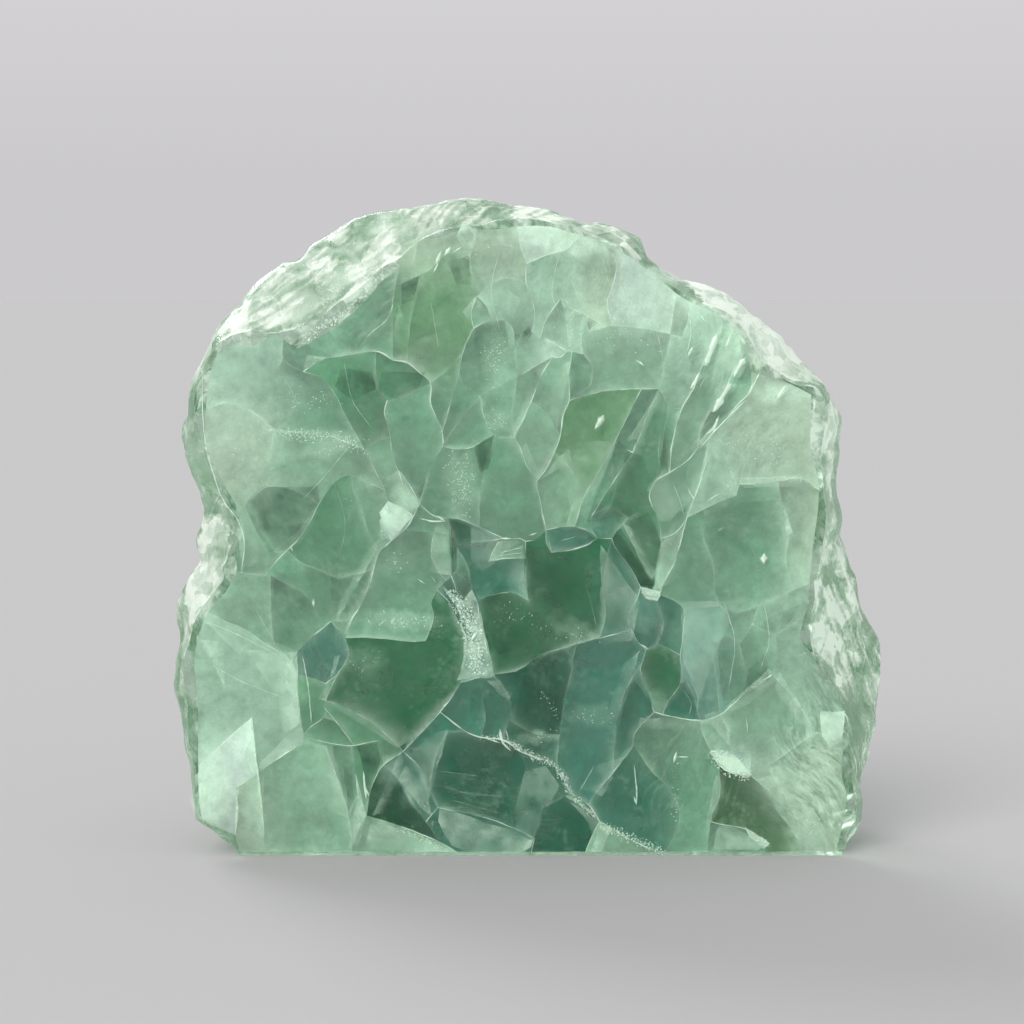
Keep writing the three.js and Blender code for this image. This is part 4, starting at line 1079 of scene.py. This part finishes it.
    (-0.32, 0.25, [(-32.5, 85.5), (-27, 85), (-26.5, 82), (-30.5, 80), (-33.5, 82.5)]),
    (-0.36, 0.25, [(-25.5, 85), (-18, 85), (-19, 82.5), (-23, 80.5), (-26, 81.5)]),
    (0.25, 0.05, [(-22.5, 96.5), (-23.5, 91.5), (-22.5, 90.5), (-21.5, 94.5)]),
    (0.35, 0.1, [(-38.5, 88), (-35, 87.5), (-39, 85)]),
]
VEIL_GRID = 0.9  # mm
VEIL_NEAR, VEIL_FAR, VEIL_LEAN = 0.4, 0.9, 0.15  # mm behind the polish, and how much deeper the far side is
VEIL_WAVER, VEIL_WAVER_SIZE = 0.25, 2.0  # mm
VEIL_FADE, VEIL_RAMP = 1.3, 3.0  # how fast the sharp edge's strength fades, and the far side's comes up
VEIL_PALE, VEIL_DARK = linear("#d6ecdd"), linear("#24503a")

dice = random.Random(44)
places, sides, tones, covers = [], [], [], []
for strong, far, points in VEILS:
    low, high = np.min(points, axis=0), np.max(points, axis=0)
    loose = [(x, z) for x in np.arange(low[0], high[0], VEIL_GRID)
             for z in np.arange(low[1], high[1], VEIL_GRID) if inside((x, z), points)]
    outline = []
    for a, b in zip(points, points[1:] + points[:1]):
        count = max(1, round(math.dist(a, b) / VEIL_GRID))
        outline += [(a[0] + (b[0] - a[0]) * k / count, a[1] + (b[1] - a[1]) * k / count)
                    for k in range(count)]
    made, _, corners, _, _, _ = geometry.delaunay_2d_cdt(
        [Vector(p) for p in outline + loose], [], [list(range(len(outline)))], 1, 1e-5)
    along = (Vector(points[1]) - Vector(points[0])).normalized()
    reach = [abs(along.cross(p - Vector(points[0]))) for p in made]
    start, depth = len(places), dice.uniform(VEIL_NEAR, VEIL_FAR)
    for p, away in zip(made, reach):
        share = away / max(max(reach), 0.1)
        spot = Vector((p.x, start, p.y))
        shift = VEIL_WAVER * noise.noise_vector(spot / VEIL_WAVER_SIZE)
        uneven_by = 0.8 + 0.9 * noise.fractal(spot / 3.0, 0.8, 2.0, 4)
        places.append((p.x + shift.x, depth + VEIL_LEAN * share, p.y + shift.z))
        tones.append(VEIL_PALE if strong > 0 else VEIL_DARK)
        shown = abs(strong) * (1.0 - share) ** VEIL_FADE + far * min(1.0, share * VEIL_RAMP)
        covers.append(min(1.0, max(0.0, shown * uneven_by)))
    sides.extend(tuple(start + i for i in face) for face in corners)
veils = mesh_object("veils", film_mesh("veils", places, sides, {"tone": tones, "cover": covers}))
veils.data.materials.append(clouded)
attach(veils, "root")

# ---- Healed cracks and painted glints -------------------------------------------------------------------
# Where two grains meet at the polish their boundary shows as a pale thread, a crack that grew shut again,
# with a fainter veil to one side where it leans away inwards. Painted glints are built here the same way:
# white strips that stand for light flashing off the crystal inside.

# For each sort of boundary: [half width of the thread mm, how white, width of the veil mm, how white].
CRACKS = {"bright": (0.12, 1.3, 1.9, 0.26), "clear": (0.09, 0.85, 1.7, 0.15), "faint": (0.06, 0.3, 1.8, 0.07)}
THREAD_ACROSS = (-1.0, -0.4, 0.0, 0.4, 1.0)  # points across a thread, as shares of its half width
VEIL_ACROSS = (0.0, 0.15, 0.4, 0.7, 1.0)  # and across a veil
THREAD_DEPTH, VEIL_DEPTH = 0.15, 0.35  # mm behind the polish
ROOF = 0.2  # mm, how far the edges of a thread lie behind its middle
LEAN_BACK = 0.25  # mm of depth for each mm of a veil's width


def ribbon(line, across, place_at, built):
    """Adds a ribbon along a line; place_at gives the offset, depth and whiteness of each point across it."""
    places, sides, covers = built
    points = [Vector(p) for p in line]
    first, step = len(places), len(across)
    for i, at in enumerate(points):
        along = (points[min(i + 1, len(points) - 1)] - points[max(i - 1, 0)]).normalized()
        aside = Vector((-along.y, along.x))
        for share in across:
            offset, depth, white = place_at(at, i / (len(points) - 1), share)
            spot = at + aside * offset
            places.append((spot.x, depth, spot.y))
            covers.append(white)
    for i in range(len(points) - 1):
        for k in range(step - 1):
            a = first + i * step + k
            sides.append((a, a + 1, a + step + 1, a + step))


dice = random.Random(31)
built = ([], [], [])
for name, (half, white, veil, veil_white) in CRACKS.items():
    for line in boundaries[name]:
        own, way = dice.uniform(0, 300), dice.choice((-1, 1))

        def thread(at, t, share):
            swell = noise.fractal(Vector((at.x, 7.0, at.y)) / 3.0, 1.0, 2.0, 3)
            strong = white * patchy(Vector((at.x, 31.0, at.y)), 4.0, 0.55, 1.9, most=1.2)
            offset, depth = half * max(0.3, 1.0 + swell) * share, THREAD_DEPTH + ROOF * abs(share)
            return offset, depth, strong * (1.0 - abs(share))

        def veil_place(at, t, share):
            ends = min(1.0, 6.0 * t, 6.0 * (1.0 - t))
            swell = max(0.15, 0.6 + noise.noise(Vector((at.x, own, at.y)) / 7.0))
            wide = veil * swell * (0.2 + 0.8 * ends)
            strong = veil_white * patchy(Vector((at.x, own + 50.0, at.y)), 6.0, 0.55, 1.6, most=1.2)
            return way * wide * share, VEIL_DEPTH + LEAN_BACK * wide * share, strong * (1.0 - share) ** 1.6

        ribbon(line, THREAD_ACROSS, thread, built)
        ribbon(line, VEIL_ACROSS, veil_place, built)

# Short threads and chips inside the grains, and painted glints: white strips that stand for light flashing
# off inner cleavage planes, off the silvery streaks at the top right and along the face's left edge. [the
# line, half its width, how white], in mm.
THREADS_AND_PAINTED_GLINTS = [
    ([(-39.5, 35.5), (-38.5, 29.5), (-38, 23.5)], 0.1, 0.8),
    ([(37.5, 80), (33.5, 76), (29.5, 71.5)], 0.12, 0.7), ([(40, 85), (38, 80.5)], 0.1, 0.6),
    ([(27, 97.5), (28, 92), (27, 87)], 0.08, 0.5), ([(-32, 87), (-30.5, 80), (-27, 75)], 0.07, 0.4),
    ([(19, 97.5), (22.5, 90.5), (23.5, 83.5)], 0.06, 0.35), ([(10, 48), (12.5, 38)], 0.05, 0.2),
    ([(34, 45), (36, 38), (35, 29.5)], 0.08, 0.45), ([(41, 45), (42, 38), (40.5, 33)], 0.08, 0.4),
    ([(-39.5, 62.5), (-34.5, 68), (-30.5, 73)], 0.06, 0.3), ([(-48.5, 45), (-44.5, 38)], 0.07, 0.35),
    ([(-34.5, 68), (-32, 59), (-33, 52)], 0.05, 0.3), ([(5.5, 106), (4, 99), (5.5, 94)], 0.07, 0.4),
    ([(12.5, 106), (14, 99)], 0.07, 0.4), ([(-5, 106), (-6.5, 99), (-5, 92)], 0.06, 0.4),
    ([(-17, 97.5), (-15.5, 88.5)], 0.06, 0.3), ([(32.5, 91.5), (31.5, 88.5), (30.5, 86)], 0.5, 1.1),
    ([(29.5, 85), (29, 83.5), (28, 82)], 0.3, 0.9), ([(37.5, 87.5), (36.5, 86), (35.5, 84)], 0.42, 1),
    ([(35, 83), (33.5, 80.5), (32, 78)], 0.5, 1.1), ([(44.5, 82.5), (43, 80)], 0.4, 0.7),
    ([(28.5, 89.5), (27.5, 87.5)], 0.25, 0.9), ([(35, 91.5), (34, 89)], 0.22, 0.9),
    ([(29.5, 95), (30.5, 93.5)], 0.3, 0.8), ([(33, 77.5), (32, 75), (30.5, 74)], 0.2, 0.7),
    ([(-56.5, 85), (-56.5, 77.5), (-56, 72), (-55, 68), (-53, 62.5), (-50.5, 59), (-49.5, 55), (-50, 50.5)],
        0.09, 0.7),
    ([(-36, 26.5), (-33.5, 23.5), (-30.5, 19.5)], 0.08, 0.5),
    ([(-39, 21), (-35, 20), (-31, 19.5), (-28.5, 20), (-26, 20.5)], 0.08, 0.45),
    ([(-48.5, 24.5), (-48, 19.5), (-47.5, 15), (-47, 10), (-46.5, 4.5)], 0.12, 0.7),
    ([(-51, 12.5), (-51.5, 3.5)], 0.1, 0.5), ([(-29, 15), (-28.5, 10)], 0.14, 0.9),
    ([(-29, 12.5), (-28, 10.5)], 0.12, 0.9), ([(-8, 21), (-5, 20)], 0.1, 0.8),
    ([(-5, 22.5), (-4.5, 20), (-3, 18.5)], 0.2, 0.9), ([(-4, 22.5), (-3.5, 20.5)], 0.1, 0.7),
    ([(18.5, 16), (19, 11.5), (19, 9)], 0.12, 0.8), ([(9, 11.5), (11, 15), (11.5, 16)], 0.07, 0.5),
    ([(25, 66), (26.5, 62), (27, 60)], 0.08, 0.5), ([(27.5, 65), (29, 62.5)], 0.12, 0.6),
    ([(28, 31.5), (29.5, 28.5), (29.5, 24.5)], 0.06, 0.4),
    ([(27, 29.5), (28.5, 27), (28, 24.5)], 0.06, 0.35), ([(3.5, 56), (4, 53.5)], 0.1, 0.5),
    ([(-5, 53.5), (-1, 54.5)], 0.07, 0.5), ([(-5.5, 53), (-1, 53.5)], 0.06, 0.4),
    ([(18.5, 87), (20, 86)], 0.2, 0.9), ([(17, 71.5), (18, 71), (18.5, 72.5)], 0.14, 0.8),
    ([(-56.5, 41.5), (-48.5, 38), (-42.5, 34.5)], 0.06, 0.3),
    ([(-58, 35.5), (-50.5, 31), (-41.5, 27.5)], 0.05, 0.25),
    ([(-26.5, 88.5), (-25, 88), (-23.5, 87)], 0.16, 0.9), ([(-22.5, 68), (-20.5, 65), (-19, 62)], 0.1, 0.5),
    ([(49.5, 80.5), (49.5, 78)], 0.18, 0.6), ([(38, 25), (38.5, 21.5)], 0.09, 0.5),
    ([(25.5, 16.5), (26, 18.5)], 0.28, 1), ([(26, 17.5), (28, 17.5)], 0.22, 1),
    ([(11.5, 75), (13, 77.5)], 0.5, 0.8), ([(41, 53.5), (41, 51.5)], 0.45, 1),
    ([(39, 54), (39.5, 53)], 0.3, 0.6), ([(39.5, 50.5), (40.5, 50.5)], 0.3, 0.5),
    ([(-37.5, 45.5), (-37.5, 44)], 0.35, 0.7), ([(-41.5, 55), (-41, 53.5)], 0.4, 0.35),
    ([(-10, 38), (-9, 39.5)], 0.3, 1), ([(49, 41), (49.5, 39.5)], 0.3, 0.9),
    ([(47.5, 35.5), (48.5, 36)], 0.35, 0.8), ([(18.5, 10.5), (19, 9)], 0.2, 0.8),
    ([(-16, 103.5), (-15, 106)], 0.35, 1), ([(-14.5, 105), (-13.5, 106.5)], 0.3, 1),
    ([(-13, 105.5), (-11.5, 106.5)], 0.25, 0.9), ([(-16.5, 102), (-15.5, 104)], 0.2, 0.6),
    ([(22, 88.5), (23, 88.5)], 0.35, 0.5), ([(-19, 59.5), (-17, 59), (-14.5, 59)], 0.14, 0.7),
    ([(-16, 60), (-14.5, 59)], 0.2, 0.9), ([(-5, 56), (-3, 56)], 0.18, 0.8),
    ([(0, 56.5), (1.5, 57)], 0.14, 0.8), ([(-17, 49.5), (-16, 48)], 0.1, 0.5),
    ([(-19.5, 49), (-18, 48)], 0.1, 0.6), ([(23, 75), (22.5, 70.5), (23.5, 66)], 0.05, 0.3),
    ([(5.5, 55.5), (8.5, 56.5)], 0.05, 0.3), ([(31, 62.5), (32.5, 63.5), (33.5, 64)], 0.1, 0.6),
    ([(32.5, 57), (34, 58)], 0.08, 0.4), ([(19.5, 37.5), (21, 36.5)], 0.15, 0.8),
    ([(-15.5, 12.5), (-10.5, 11), (-4, 10.5)], 0.05, 0.2), ([(-15.5, 15), (-8.5, 14)], 0.05, 0.18),
    ([(-14, 10), (-5, 7.5)], 0.05, 0.2), ([(29.5, 82), (30.5, 84)], 0.12, 0.6),
    ([(34, 88.5), (35, 91)], 0.08, 0.4),
]
# how much the listed threads and painted glints are brightened
THREAD_AND_GLINT_STRONG = 1.5
for line, half, white in THREADS_AND_PAINTED_GLINTS:
    def thread_and_glint_place(at, t, share):
        ends = math.sqrt(max(0.0, 1.0 - (2.0 * t - 1.0) ** 4))
        swell = noise.fractal(Vector((at.x, 13.0, at.y)) / 1.5, 1.0, 2.0, 3)
        offset = half * (0.25 + ends) * max(0.4, 1.0 + 0.8 * swell) * share
        strong = THREAD_AND_GLINT_STRONG * white * (1.0 - share ** 2) * (0.4 + 0.6 * ends)
        return offset, THREAD_DEPTH + ROOF * abs(share), strong

    ribbon(spline(line), THREAD_ACROSS, thread_and_glint_place, built)
places, sides, covers = built
cracks = mesh_object("healed_cracks", film_mesh("healed cracks", places, sides, {"cover": covers}))

# A healed crack: white, matt and feathery, thin enough to see through at its edges. The painted glints use
# the same white.
healed, tree = material("healed crack and painted glint")
place = node(tree, "ShaderNodeTexCoord").outputs["Object"]
cover = node(tree, "ShaderNodeAttribute", attribute_name="cover").outputs["Fac"]
feather = speckle(tree, place, 0.9 * MM, 0.2, 0.6, Detail=4.0)
feather = node(tree, "ShaderNodeMapRange", {"Value": feather, "To Min": 0.5, "To Max": 1.2}).outputs[0]
cover = node(tree, "ShaderNodeMath", {0: cover, 1: feather}, operation="MULTIPLY", use_clamp=True).outputs[0]
matt = node(tree, "ShaderNodeBsdfDiffuse", {"Color": linear("#eef8f1")}).outputs[0]
glow = node(tree, "ShaderNodeBsdfTranslucent", {"Color": linear("#ddf1e4")}).outputs[0]
film = node(tree, "ShaderNodeMixShader", {0: 0.35, 1: matt, 2: glow}).outputs[0]
clear = node(tree, "ShaderNodeBsdfTransparent").outputs[0]
surface = node(tree, "ShaderNodeMixShader", {0: cover, 1: clear, 2: film}).outputs[0]
node(tree, "ShaderNodeOutputMaterial", {"Surface": surface})
cracks.data.materials.append(healed)
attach(cracks, "root")

# ---- Froth and specks -----------------------------------------------------------------------------------
# Tiny bubbles and chips that were caught as the crystal grew: dense white froth along some cracks, and
# loose clouds of specks inside the grains. Each is a flake, scattered over a patch that isn't kept.

# Froth along lines: the line, [half width mm, flakes for each square mm, smallest mm, largest mm].
FROTH = [
    ([(-13.5, 47), (-12.5, 45), (-11, 42.5), (-9.5, 38), (-9, 32)], (1.84, 36.4, 0.1, 0.45)),
    ([(-8.5, 21), (-4.5, 20.5), (1, 17.5), (5, 15.5), (7.5, 11), (12.5, 6)], (0.69, 36.4, 0.08, 0.36)),
    ([(12.5, 5.5), (17, 3.5), (24, 0.5)], (0.92, 36.4, 0.08, 0.36)),
    ([(-23.5, 5), (-14, 1)], (0.69, 26.0, 0.08, 0.27)),
    ([(-45, 75), (-39.5, 74), (-33.5, 73.5), (-27.5, 70.5)], (1.15, 31.2, 0.06, 0.27)),
    ([(32, 18.5), (35.5, 16), (39, 14)], (1.61, 41.6, 0.1, 0.41)),
    ([(38.5, 4.5), (42.5, 1.5)], (0.57, 31.2, 0.08, 0.36)),
    ([(-40, 89.5), (-37.5, 91.5), (-31.5, 95.5), (-26, 101.5)], (0.92, 13.0, 0.1, 0.36)),
    ([(19.5, 46.5), (23, 46)], (0.8, 52.0, 0.08, 0.32)), ([(2, 29.5), (5.5, 24)], (0.69, 7.8, 0.08, 0.23)),
]
# Clouds of specks, in mm: [x, z, half width, half height, turned in degrees, flakes for each square mm,
# largest flake].
SPECKS = [
    (-12, 65.5, 4, 8.5, 0, 19.6, 0.27), (-5.5, 87, 3, 9.5, 0, 14.0, 0.26),
    (-5.5, 76.5, 3, 3, 0, 16.8, 0.27), (-38, 80, 7, 4, 10, 8.4, 0.24), (-23, 52, 4, 3, 20, 14.0, 0.3),
    (-22.5, 41.5, 10.5, 2.5, 0, 16.8, 0.34), (2, 21, 5.5, 1.5, 10, 14.0, 0.26),
    (11, 25, 5.5, 2.5, 0, 11.2, 0.24), (-2.5, 42.5, 4.5, 3, 0, 8.4, 0.24),
    (6.5, 39.5, 7.5, 2.5, -10, 11.2, 0.26), (35, 66, 2, 3, 0, 14.0, 0.3), (41.5, 71, 5, 3, 0, 7.0, 0.3),
    (26, 10, 1.5, 9.5, 0, 14.0, 0.26), (-32.5, 72, 7.5, 2, 15, 11.2, 0.26), (-31, 62, 2, 2.5, 0, 8.4, 0.21),
    (-28.5, 34.5, 5, 4.5, 0, 5.6, 0.24), (-33.5, 99, 8, 5, 40, 8.4, 0.27), (-10, 106, 6, 2, 10, 8.4, 0.34),
    (50.5, 5.5, 4, 3.5, 0, 11.2, 0.34), (36, 73, 6, 6, 0, 4.2, 0.26), (12.5, 92, 10, 8, 0, 3.4, 0.26),
    (-52, 71.5, 6, 8, 0, 2.8, 0.21),
]
FROTH_DEPTH, SPECK_DEPTH = 0.2, 0.25  # mm behind the polish, of the nearest flakes
FLAKE_SCATTER = 0.5  # mm, how far behind the nearest the others lie
FLAKE_TILT, FLAKE_TURN = 0.45, 3.2  # radians either way, out of the face's plane and in it
FLAKE_SMALLEST, FLAKE_LARGEST = 0.1, 0.4  # mm, where a patch doesn't say
SMALLEST_SPECK = 0.05  # mm
PER_SQUARE_METRE = 1e6  # flakes for each square metre, from flakes for each square millimetre
# The flake, as wide as 1: its peak, then its corners, [along, across, how far it stands out].
FLAKE_CORNERS = ((0.0, 0.0, 0.12), (0.7, 0.05, 0.0), (0.2, 0.34, 0.0), (-0.5, 0.26, 0.05),
                 (-0.55, -0.14, 0.0), (0.1, -0.4, 0.0))


def scatter_tree(flake, paint):
    """Geometry nodes that scatter flakes over a patch, as densely as its crowd attribute says."""
    tree = bpy.data.node_groups.new("scattered flakes", "GeometryNodeTree")
    face = tree.interface
    face.new_socket("Geometry", in_out="INPUT", socket_type="NodeSocketGeometry")
    for name, kind, value in (
            ("Smallest", "NodeSocketFloat", FLAKE_SMALLEST * MM),
            ("Largest", "NodeSocketFloat", FLAKE_LARGEST * MM),
            ("Scatter", "NodeSocketFloat", FLAKE_SCATTER * MM), ("Seed", "NodeSocketInt", 1)):
        face.new_socket(name, in_out="INPUT", socket_type=kind).default_value = value
    face.new_socket("Geometry", in_out="OUTPUT", socket_type="NodeSocketGeometry")
    given = node(tree, "NodeGroupInput").outputs
    crowd = node(tree, "GeometryNodeInputNamedAttribute", {"Name": "crowd"}, data_type="FLOAT").outputs[0]
    points = node(tree, "GeometryNodeDistributePointsOnFaces", {
        "Mesh": given["Geometry"], "Density": crowd, "Seed": given["Seed"]}).outputs["Points"]
    back = node(tree, "FunctionNodeRandomValue", {2: 0.0, 3: given["Scatter"], "Seed": given["Seed"]},
                data_type="FLOAT").outputs[1]
    offset = node(tree, "ShaderNodeCombineXYZ", {"Y": back}).outputs[0]
    points = node(tree, "GeometryNodeSetPosition", {"Geometry": points, "Offset": offset}).outputs[0]
    size_seed = node(tree, "ShaderNodeMath", {0: given["Seed"], 1: 7.0}, operation="ADD").outputs[0]
    share = node(tree, "FunctionNodeRandomValue", {2: 0.0, 3: 1.0, "Seed": size_seed},
                 data_type="FLOAT").outputs[1]
    share = node(tree, "ShaderNodeMath", {0: share, 1: 3.0}, operation="POWER").outputs[0]  # few are large
    size = node(tree, "ShaderNodeMapRange", {
        "Value": share, "To Min": given["Smallest"], "To Max": given["Largest"]}).outputs[0]
    most = (FLAKE_TILT, FLAKE_TURN, FLAKE_TILT)
    turned = node(tree, "FunctionNodeRandomValue", {
        0: [-angle for angle in most], 1: most, "Seed": given["Seed"]}, data_type="FLOAT_VECTOR").outputs[0]
    shape = node(tree, "GeometryNodeObjectInfo", {"Object": flake}).outputs["Geometry"]
    flakes = node(tree, "GeometryNodeInstanceOnPoints", {
        "Points": points, "Instance": shape, "Rotation": turned, "Scale": size}).outputs[0]
    flakes = node(tree, "GeometryNodeRealizeInstances", {"Geometry": flakes}).outputs[0]
    flakes = node(tree, "GeometryNodeSetMaterial", {"Geometry": flakes, "Material": paint}).outputs[0]
    node(tree, "NodeGroupOutput", {"Geometry": flakes})
    return tree


def scattered(name, patch, tree, settings):
    """The flakes scattered over a patch, as a plain mesh."""
    made = mesh_object(name, patch)
    scatter = made.modifiers.new("scattered flakes", "NODES")
    scatter.node_group = tree
    for item in tree.interface.items_tree:
        if item.in_out == "INPUT" and item.name in settings:
            scatter[item.identifier] = settings[item.name]
    mesh = bpy.data.meshes.new_from_object(made.evaluated_get(bpy.context.evaluated_depsgraph_get()))
    made.modifiers.remove(scatter)
    made.data = mesh
    return made


# White, matt flakes that let some light through.
froth_white, tree = material("white froth")
matt = node(tree, "ShaderNodeBsdfDiffuse", {"Color": linear("#f1f8f2")}).outputs[0]
glow = node(tree, "ShaderNodeBsdfTranslucent", {"Color": linear("#ecf7ef")}).outputs[0]
film = node(tree, "ShaderNodeMixShader", {0: 0.5, 1: matt, 2: glow}).outputs[0]
clear = node(tree, "ShaderNodeBsdfTransparent").outputs[0]
film = node(tree, "ShaderNodeMixShader", {0: 0.15, 1: film, 2: clear}).outputs[0]
lamp_ray = node(tree, "ShaderNodeLightPath").outputs["Is Shadow Ray"]
surface = node(tree, "ShaderNodeMixShader", {0: lamp_ray, 1: film, 2: clear}).outputs[0]
node(tree, "ShaderNodeOutputMaterial", {"Surface": surface})

flake_mesh = bpy.data.meshes.new("flake")
flake_mesh.from_pydata([(x, z, y) for x, y, z in FLAKE_CORNERS], [],
                       [(0, i, i % (len(FLAKE_CORNERS) - 1) + 1) for i in range(1, len(FLAKE_CORNERS))])
flake = mesh_object("flake", flake_mesh)
flakes_tree = scatter_tree(flake, froth_white)

for number, (line, (half, crowd, smallest, largest)) in enumerate(FROTH, 1):
    def froth_place(at, t, share):
        ends = min(1.0, 5.0 * t, 5.0 * (1.0 - t))
        wide = half * (0.6 + 0.8 * abs(noise.noise(Vector((at.x, 3.0, at.y)) / 2.5)) + 0.3 * ends)
        return wide * share, FROTH_DEPTH, crowd * PER_SQUARE_METRE * (1.0 - abs(share)) * (0.3 + 0.7 * ends)

    built = ([], [], [])
    ribbon(smooth(line), THREAD_ACROSS, froth_place, built)
    patch = film_mesh("froth", built[0], built[1], {"crowd": built[2]})
    froth = scattered("froth_%d" % number, patch, flakes_tree, {
        "Smallest": smallest * MM, "Largest": largest * MM, "Seed": number})
    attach(froth, "root")

SPECK_RINGS, SPECK_SIDES = 4, 14


def speck_patch(number, x, z, wide, tall, turned, crowd):
    """An oval patch of uneven outline, crowded in the middle and empty at its edge."""
    swing = Matrix.Rotation(math.radians(turned), 2)
    places, sides, crowds = [(x, SPECK_DEPTH, z)], [], [crowd * PER_SQUARE_METRE]
    for ring in range(1, SPECK_RINGS + 1):
        for i in range(SPECK_SIDES):
            angle = math.tau * i / SPECK_SIDES
            uneven_by = 0.75 + 0.5 * noise.noise(Vector((math.cos(angle), number, math.sin(angle))) * 1.5)
            oval = Vector((wide * math.cos(angle), tall * math.sin(angle)))
            out = swing @ oval * uneven_by * ring / SPECK_RINGS
            places.append((x + out.x, SPECK_DEPTH, z + out.y))
            crowds.append(crowd * PER_SQUARE_METRE * (1.0 - ring / SPECK_RINGS) * (
                0.6 + 0.8 * noise.noise(Vector((x + out.x, number, z + out.y)) / 1.5)))
    for i in range(SPECK_SIDES):
        sides.append((0, 1 + i, 1 + (i + 1) % SPECK_SIDES))
    for ring in range(1, SPECK_RINGS):
        for i in range(SPECK_SIDES):
            a, b = (1 + (ring - 1) * SPECK_SIDES + k % SPECK_SIDES for k in (i, i + 1))
            sides.append((a, a + SPECK_SIDES, b + SPECK_SIDES, b))
    return film_mesh("specks", places, sides, {"crowd": np.maximum(crowds, 0.0)})


for number, (*oval, crowd, largest) in enumerate(SPECKS, 1):
    specks = scattered("specks_%d" % number, speck_patch(number, *oval, crowd), flakes_tree, {
        "Smallest": SMALLEST_SPECK * MM, "Largest": largest * MM, "Seed": 100 + number})
    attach(specks, "root")
bpy.data.objects.remove(flake)

# ---- Stage ----------------------------------------------------------------------------------------------
# A plain pale floor, soft studio light and a camera a little above the stone, looking at the polished face.
FLOOR_HALF = 60.0  # metres, so far that its edge doesn't show
FLOOR_GAP = 0.1 * MM  # between floor and foot

corners = [(-FLOOR_HALF, -FLOOR_HALF, 0), (FLOOR_HALF, -FLOOR_HALF, 0), (FLOOR_HALF, FLOOR_HALF, 0),
           (-FLOOR_HALF, FLOOR_HALF, 0)]
floor_mesh = bpy.data.meshes.new("floor")
floor_mesh.from_pydata(corners, [], [(0, 1, 2, 3)])
floor = mesh_object("floor", floor_mesh)
table, tree = material("pale table")
paint = node(tree, "ShaderNodeBsdfDiffuse", {"Color": linear("#8e8e8f")}).outputs[0]
node(tree, "ShaderNodeOutputMaterial", {"Surface": paint})
floor.data.materials.append(table)
floor.location.z = -FLOOR_GAP

# The studio: a dome of soft light, brighter overhead, and two wide lamps far off.
HORIZON, OVERHEAD = 0.66, 1.4  # how bright
HORIZON_HEIGHT, OVERHEAD_HEIGHT = 0.05, 0.9  # as the sine of the angle above the floor
world = bpy.data.worlds.new("studio")
bpy.context.scene.world = world
world.use_nodes = True
tree = world.node_tree
tree.nodes.clear()
way = node(tree, "ShaderNodeTexCoord").outputs["Generated"]
height = node(tree, "ShaderNodeSeparateXYZ", {"Vector": way}).outputs["Z"]
power = node(tree, "ShaderNodeMapRange", {
    "Value": height, "From Min": HORIZON_HEIGHT, "From Max": OVERHEAD_HEIGHT,
    "To Min": HORIZON, "To Max": OVERHEAD}).outputs[0]
dome = node(tree, "ShaderNodeBackground", {"Color": linear("#f4f2f5"), "Strength": power}).outputs[0]
node(tree, "ShaderNodeOutputWorld", {"Surface": dome})


def lamp(name, way, spread, power, colour):
    """A wide lamp so far off that its light is even; way is where it stands, seen from the stone."""
    light = bpy.data.lights.new(name, "SUN")
    light.angle = math.radians(spread)
    light.energy = power
    light.color = linear(colour)[:3]
    made = bpy.data.objects.new(name, light)
    bpy.context.scene.collection.objects.link(made)
    made.rotation_euler = Vector(way).to_track_quat("Z", "Y").to_euler()


lamp("key", (-0.45, -0.7, 0.8), 35, 3.0, "#fffdf8")
lamp("back", (-0.5, 0.8, 0.7), 30, 2.4, "#ffffff")

LENS, SENSOR = 87.9, 36.0  # mm
CAMERA_ASIDE, CAMERA_AWAY, CAMERA_HEIGHT = -2.9, 433, 98  # mm, from the middle of the polished face's foot
CAMERA_DOWN = 4.93  # degrees
BOUNCES = {"max_bounces": 12, "diffuse_bounces": 3, "transmission_bounces": 10, "transparent_max_bounces": 16}

camera_data = bpy.data.cameras.new("camera")
camera_data.sensor_width = SENSOR
camera_data.lens = LENS
camera = bpy.data.objects.new("camera", camera_data)
scene = bpy.context.scene
scene.collection.objects.link(camera)
camera.location = (CAMERA_ASIDE * MM, FACE - CAMERA_AWAY * MM, CAMERA_HEIGHT * MM)
camera.rotation_euler = (math.radians(90 - CAMERA_DOWN), 0, 0)
scene.camera = camera
scene.view_settings.view_transform = "Standard"
for name, most in BOUNCES.items():
    setattr(scene.cycles, name, most)
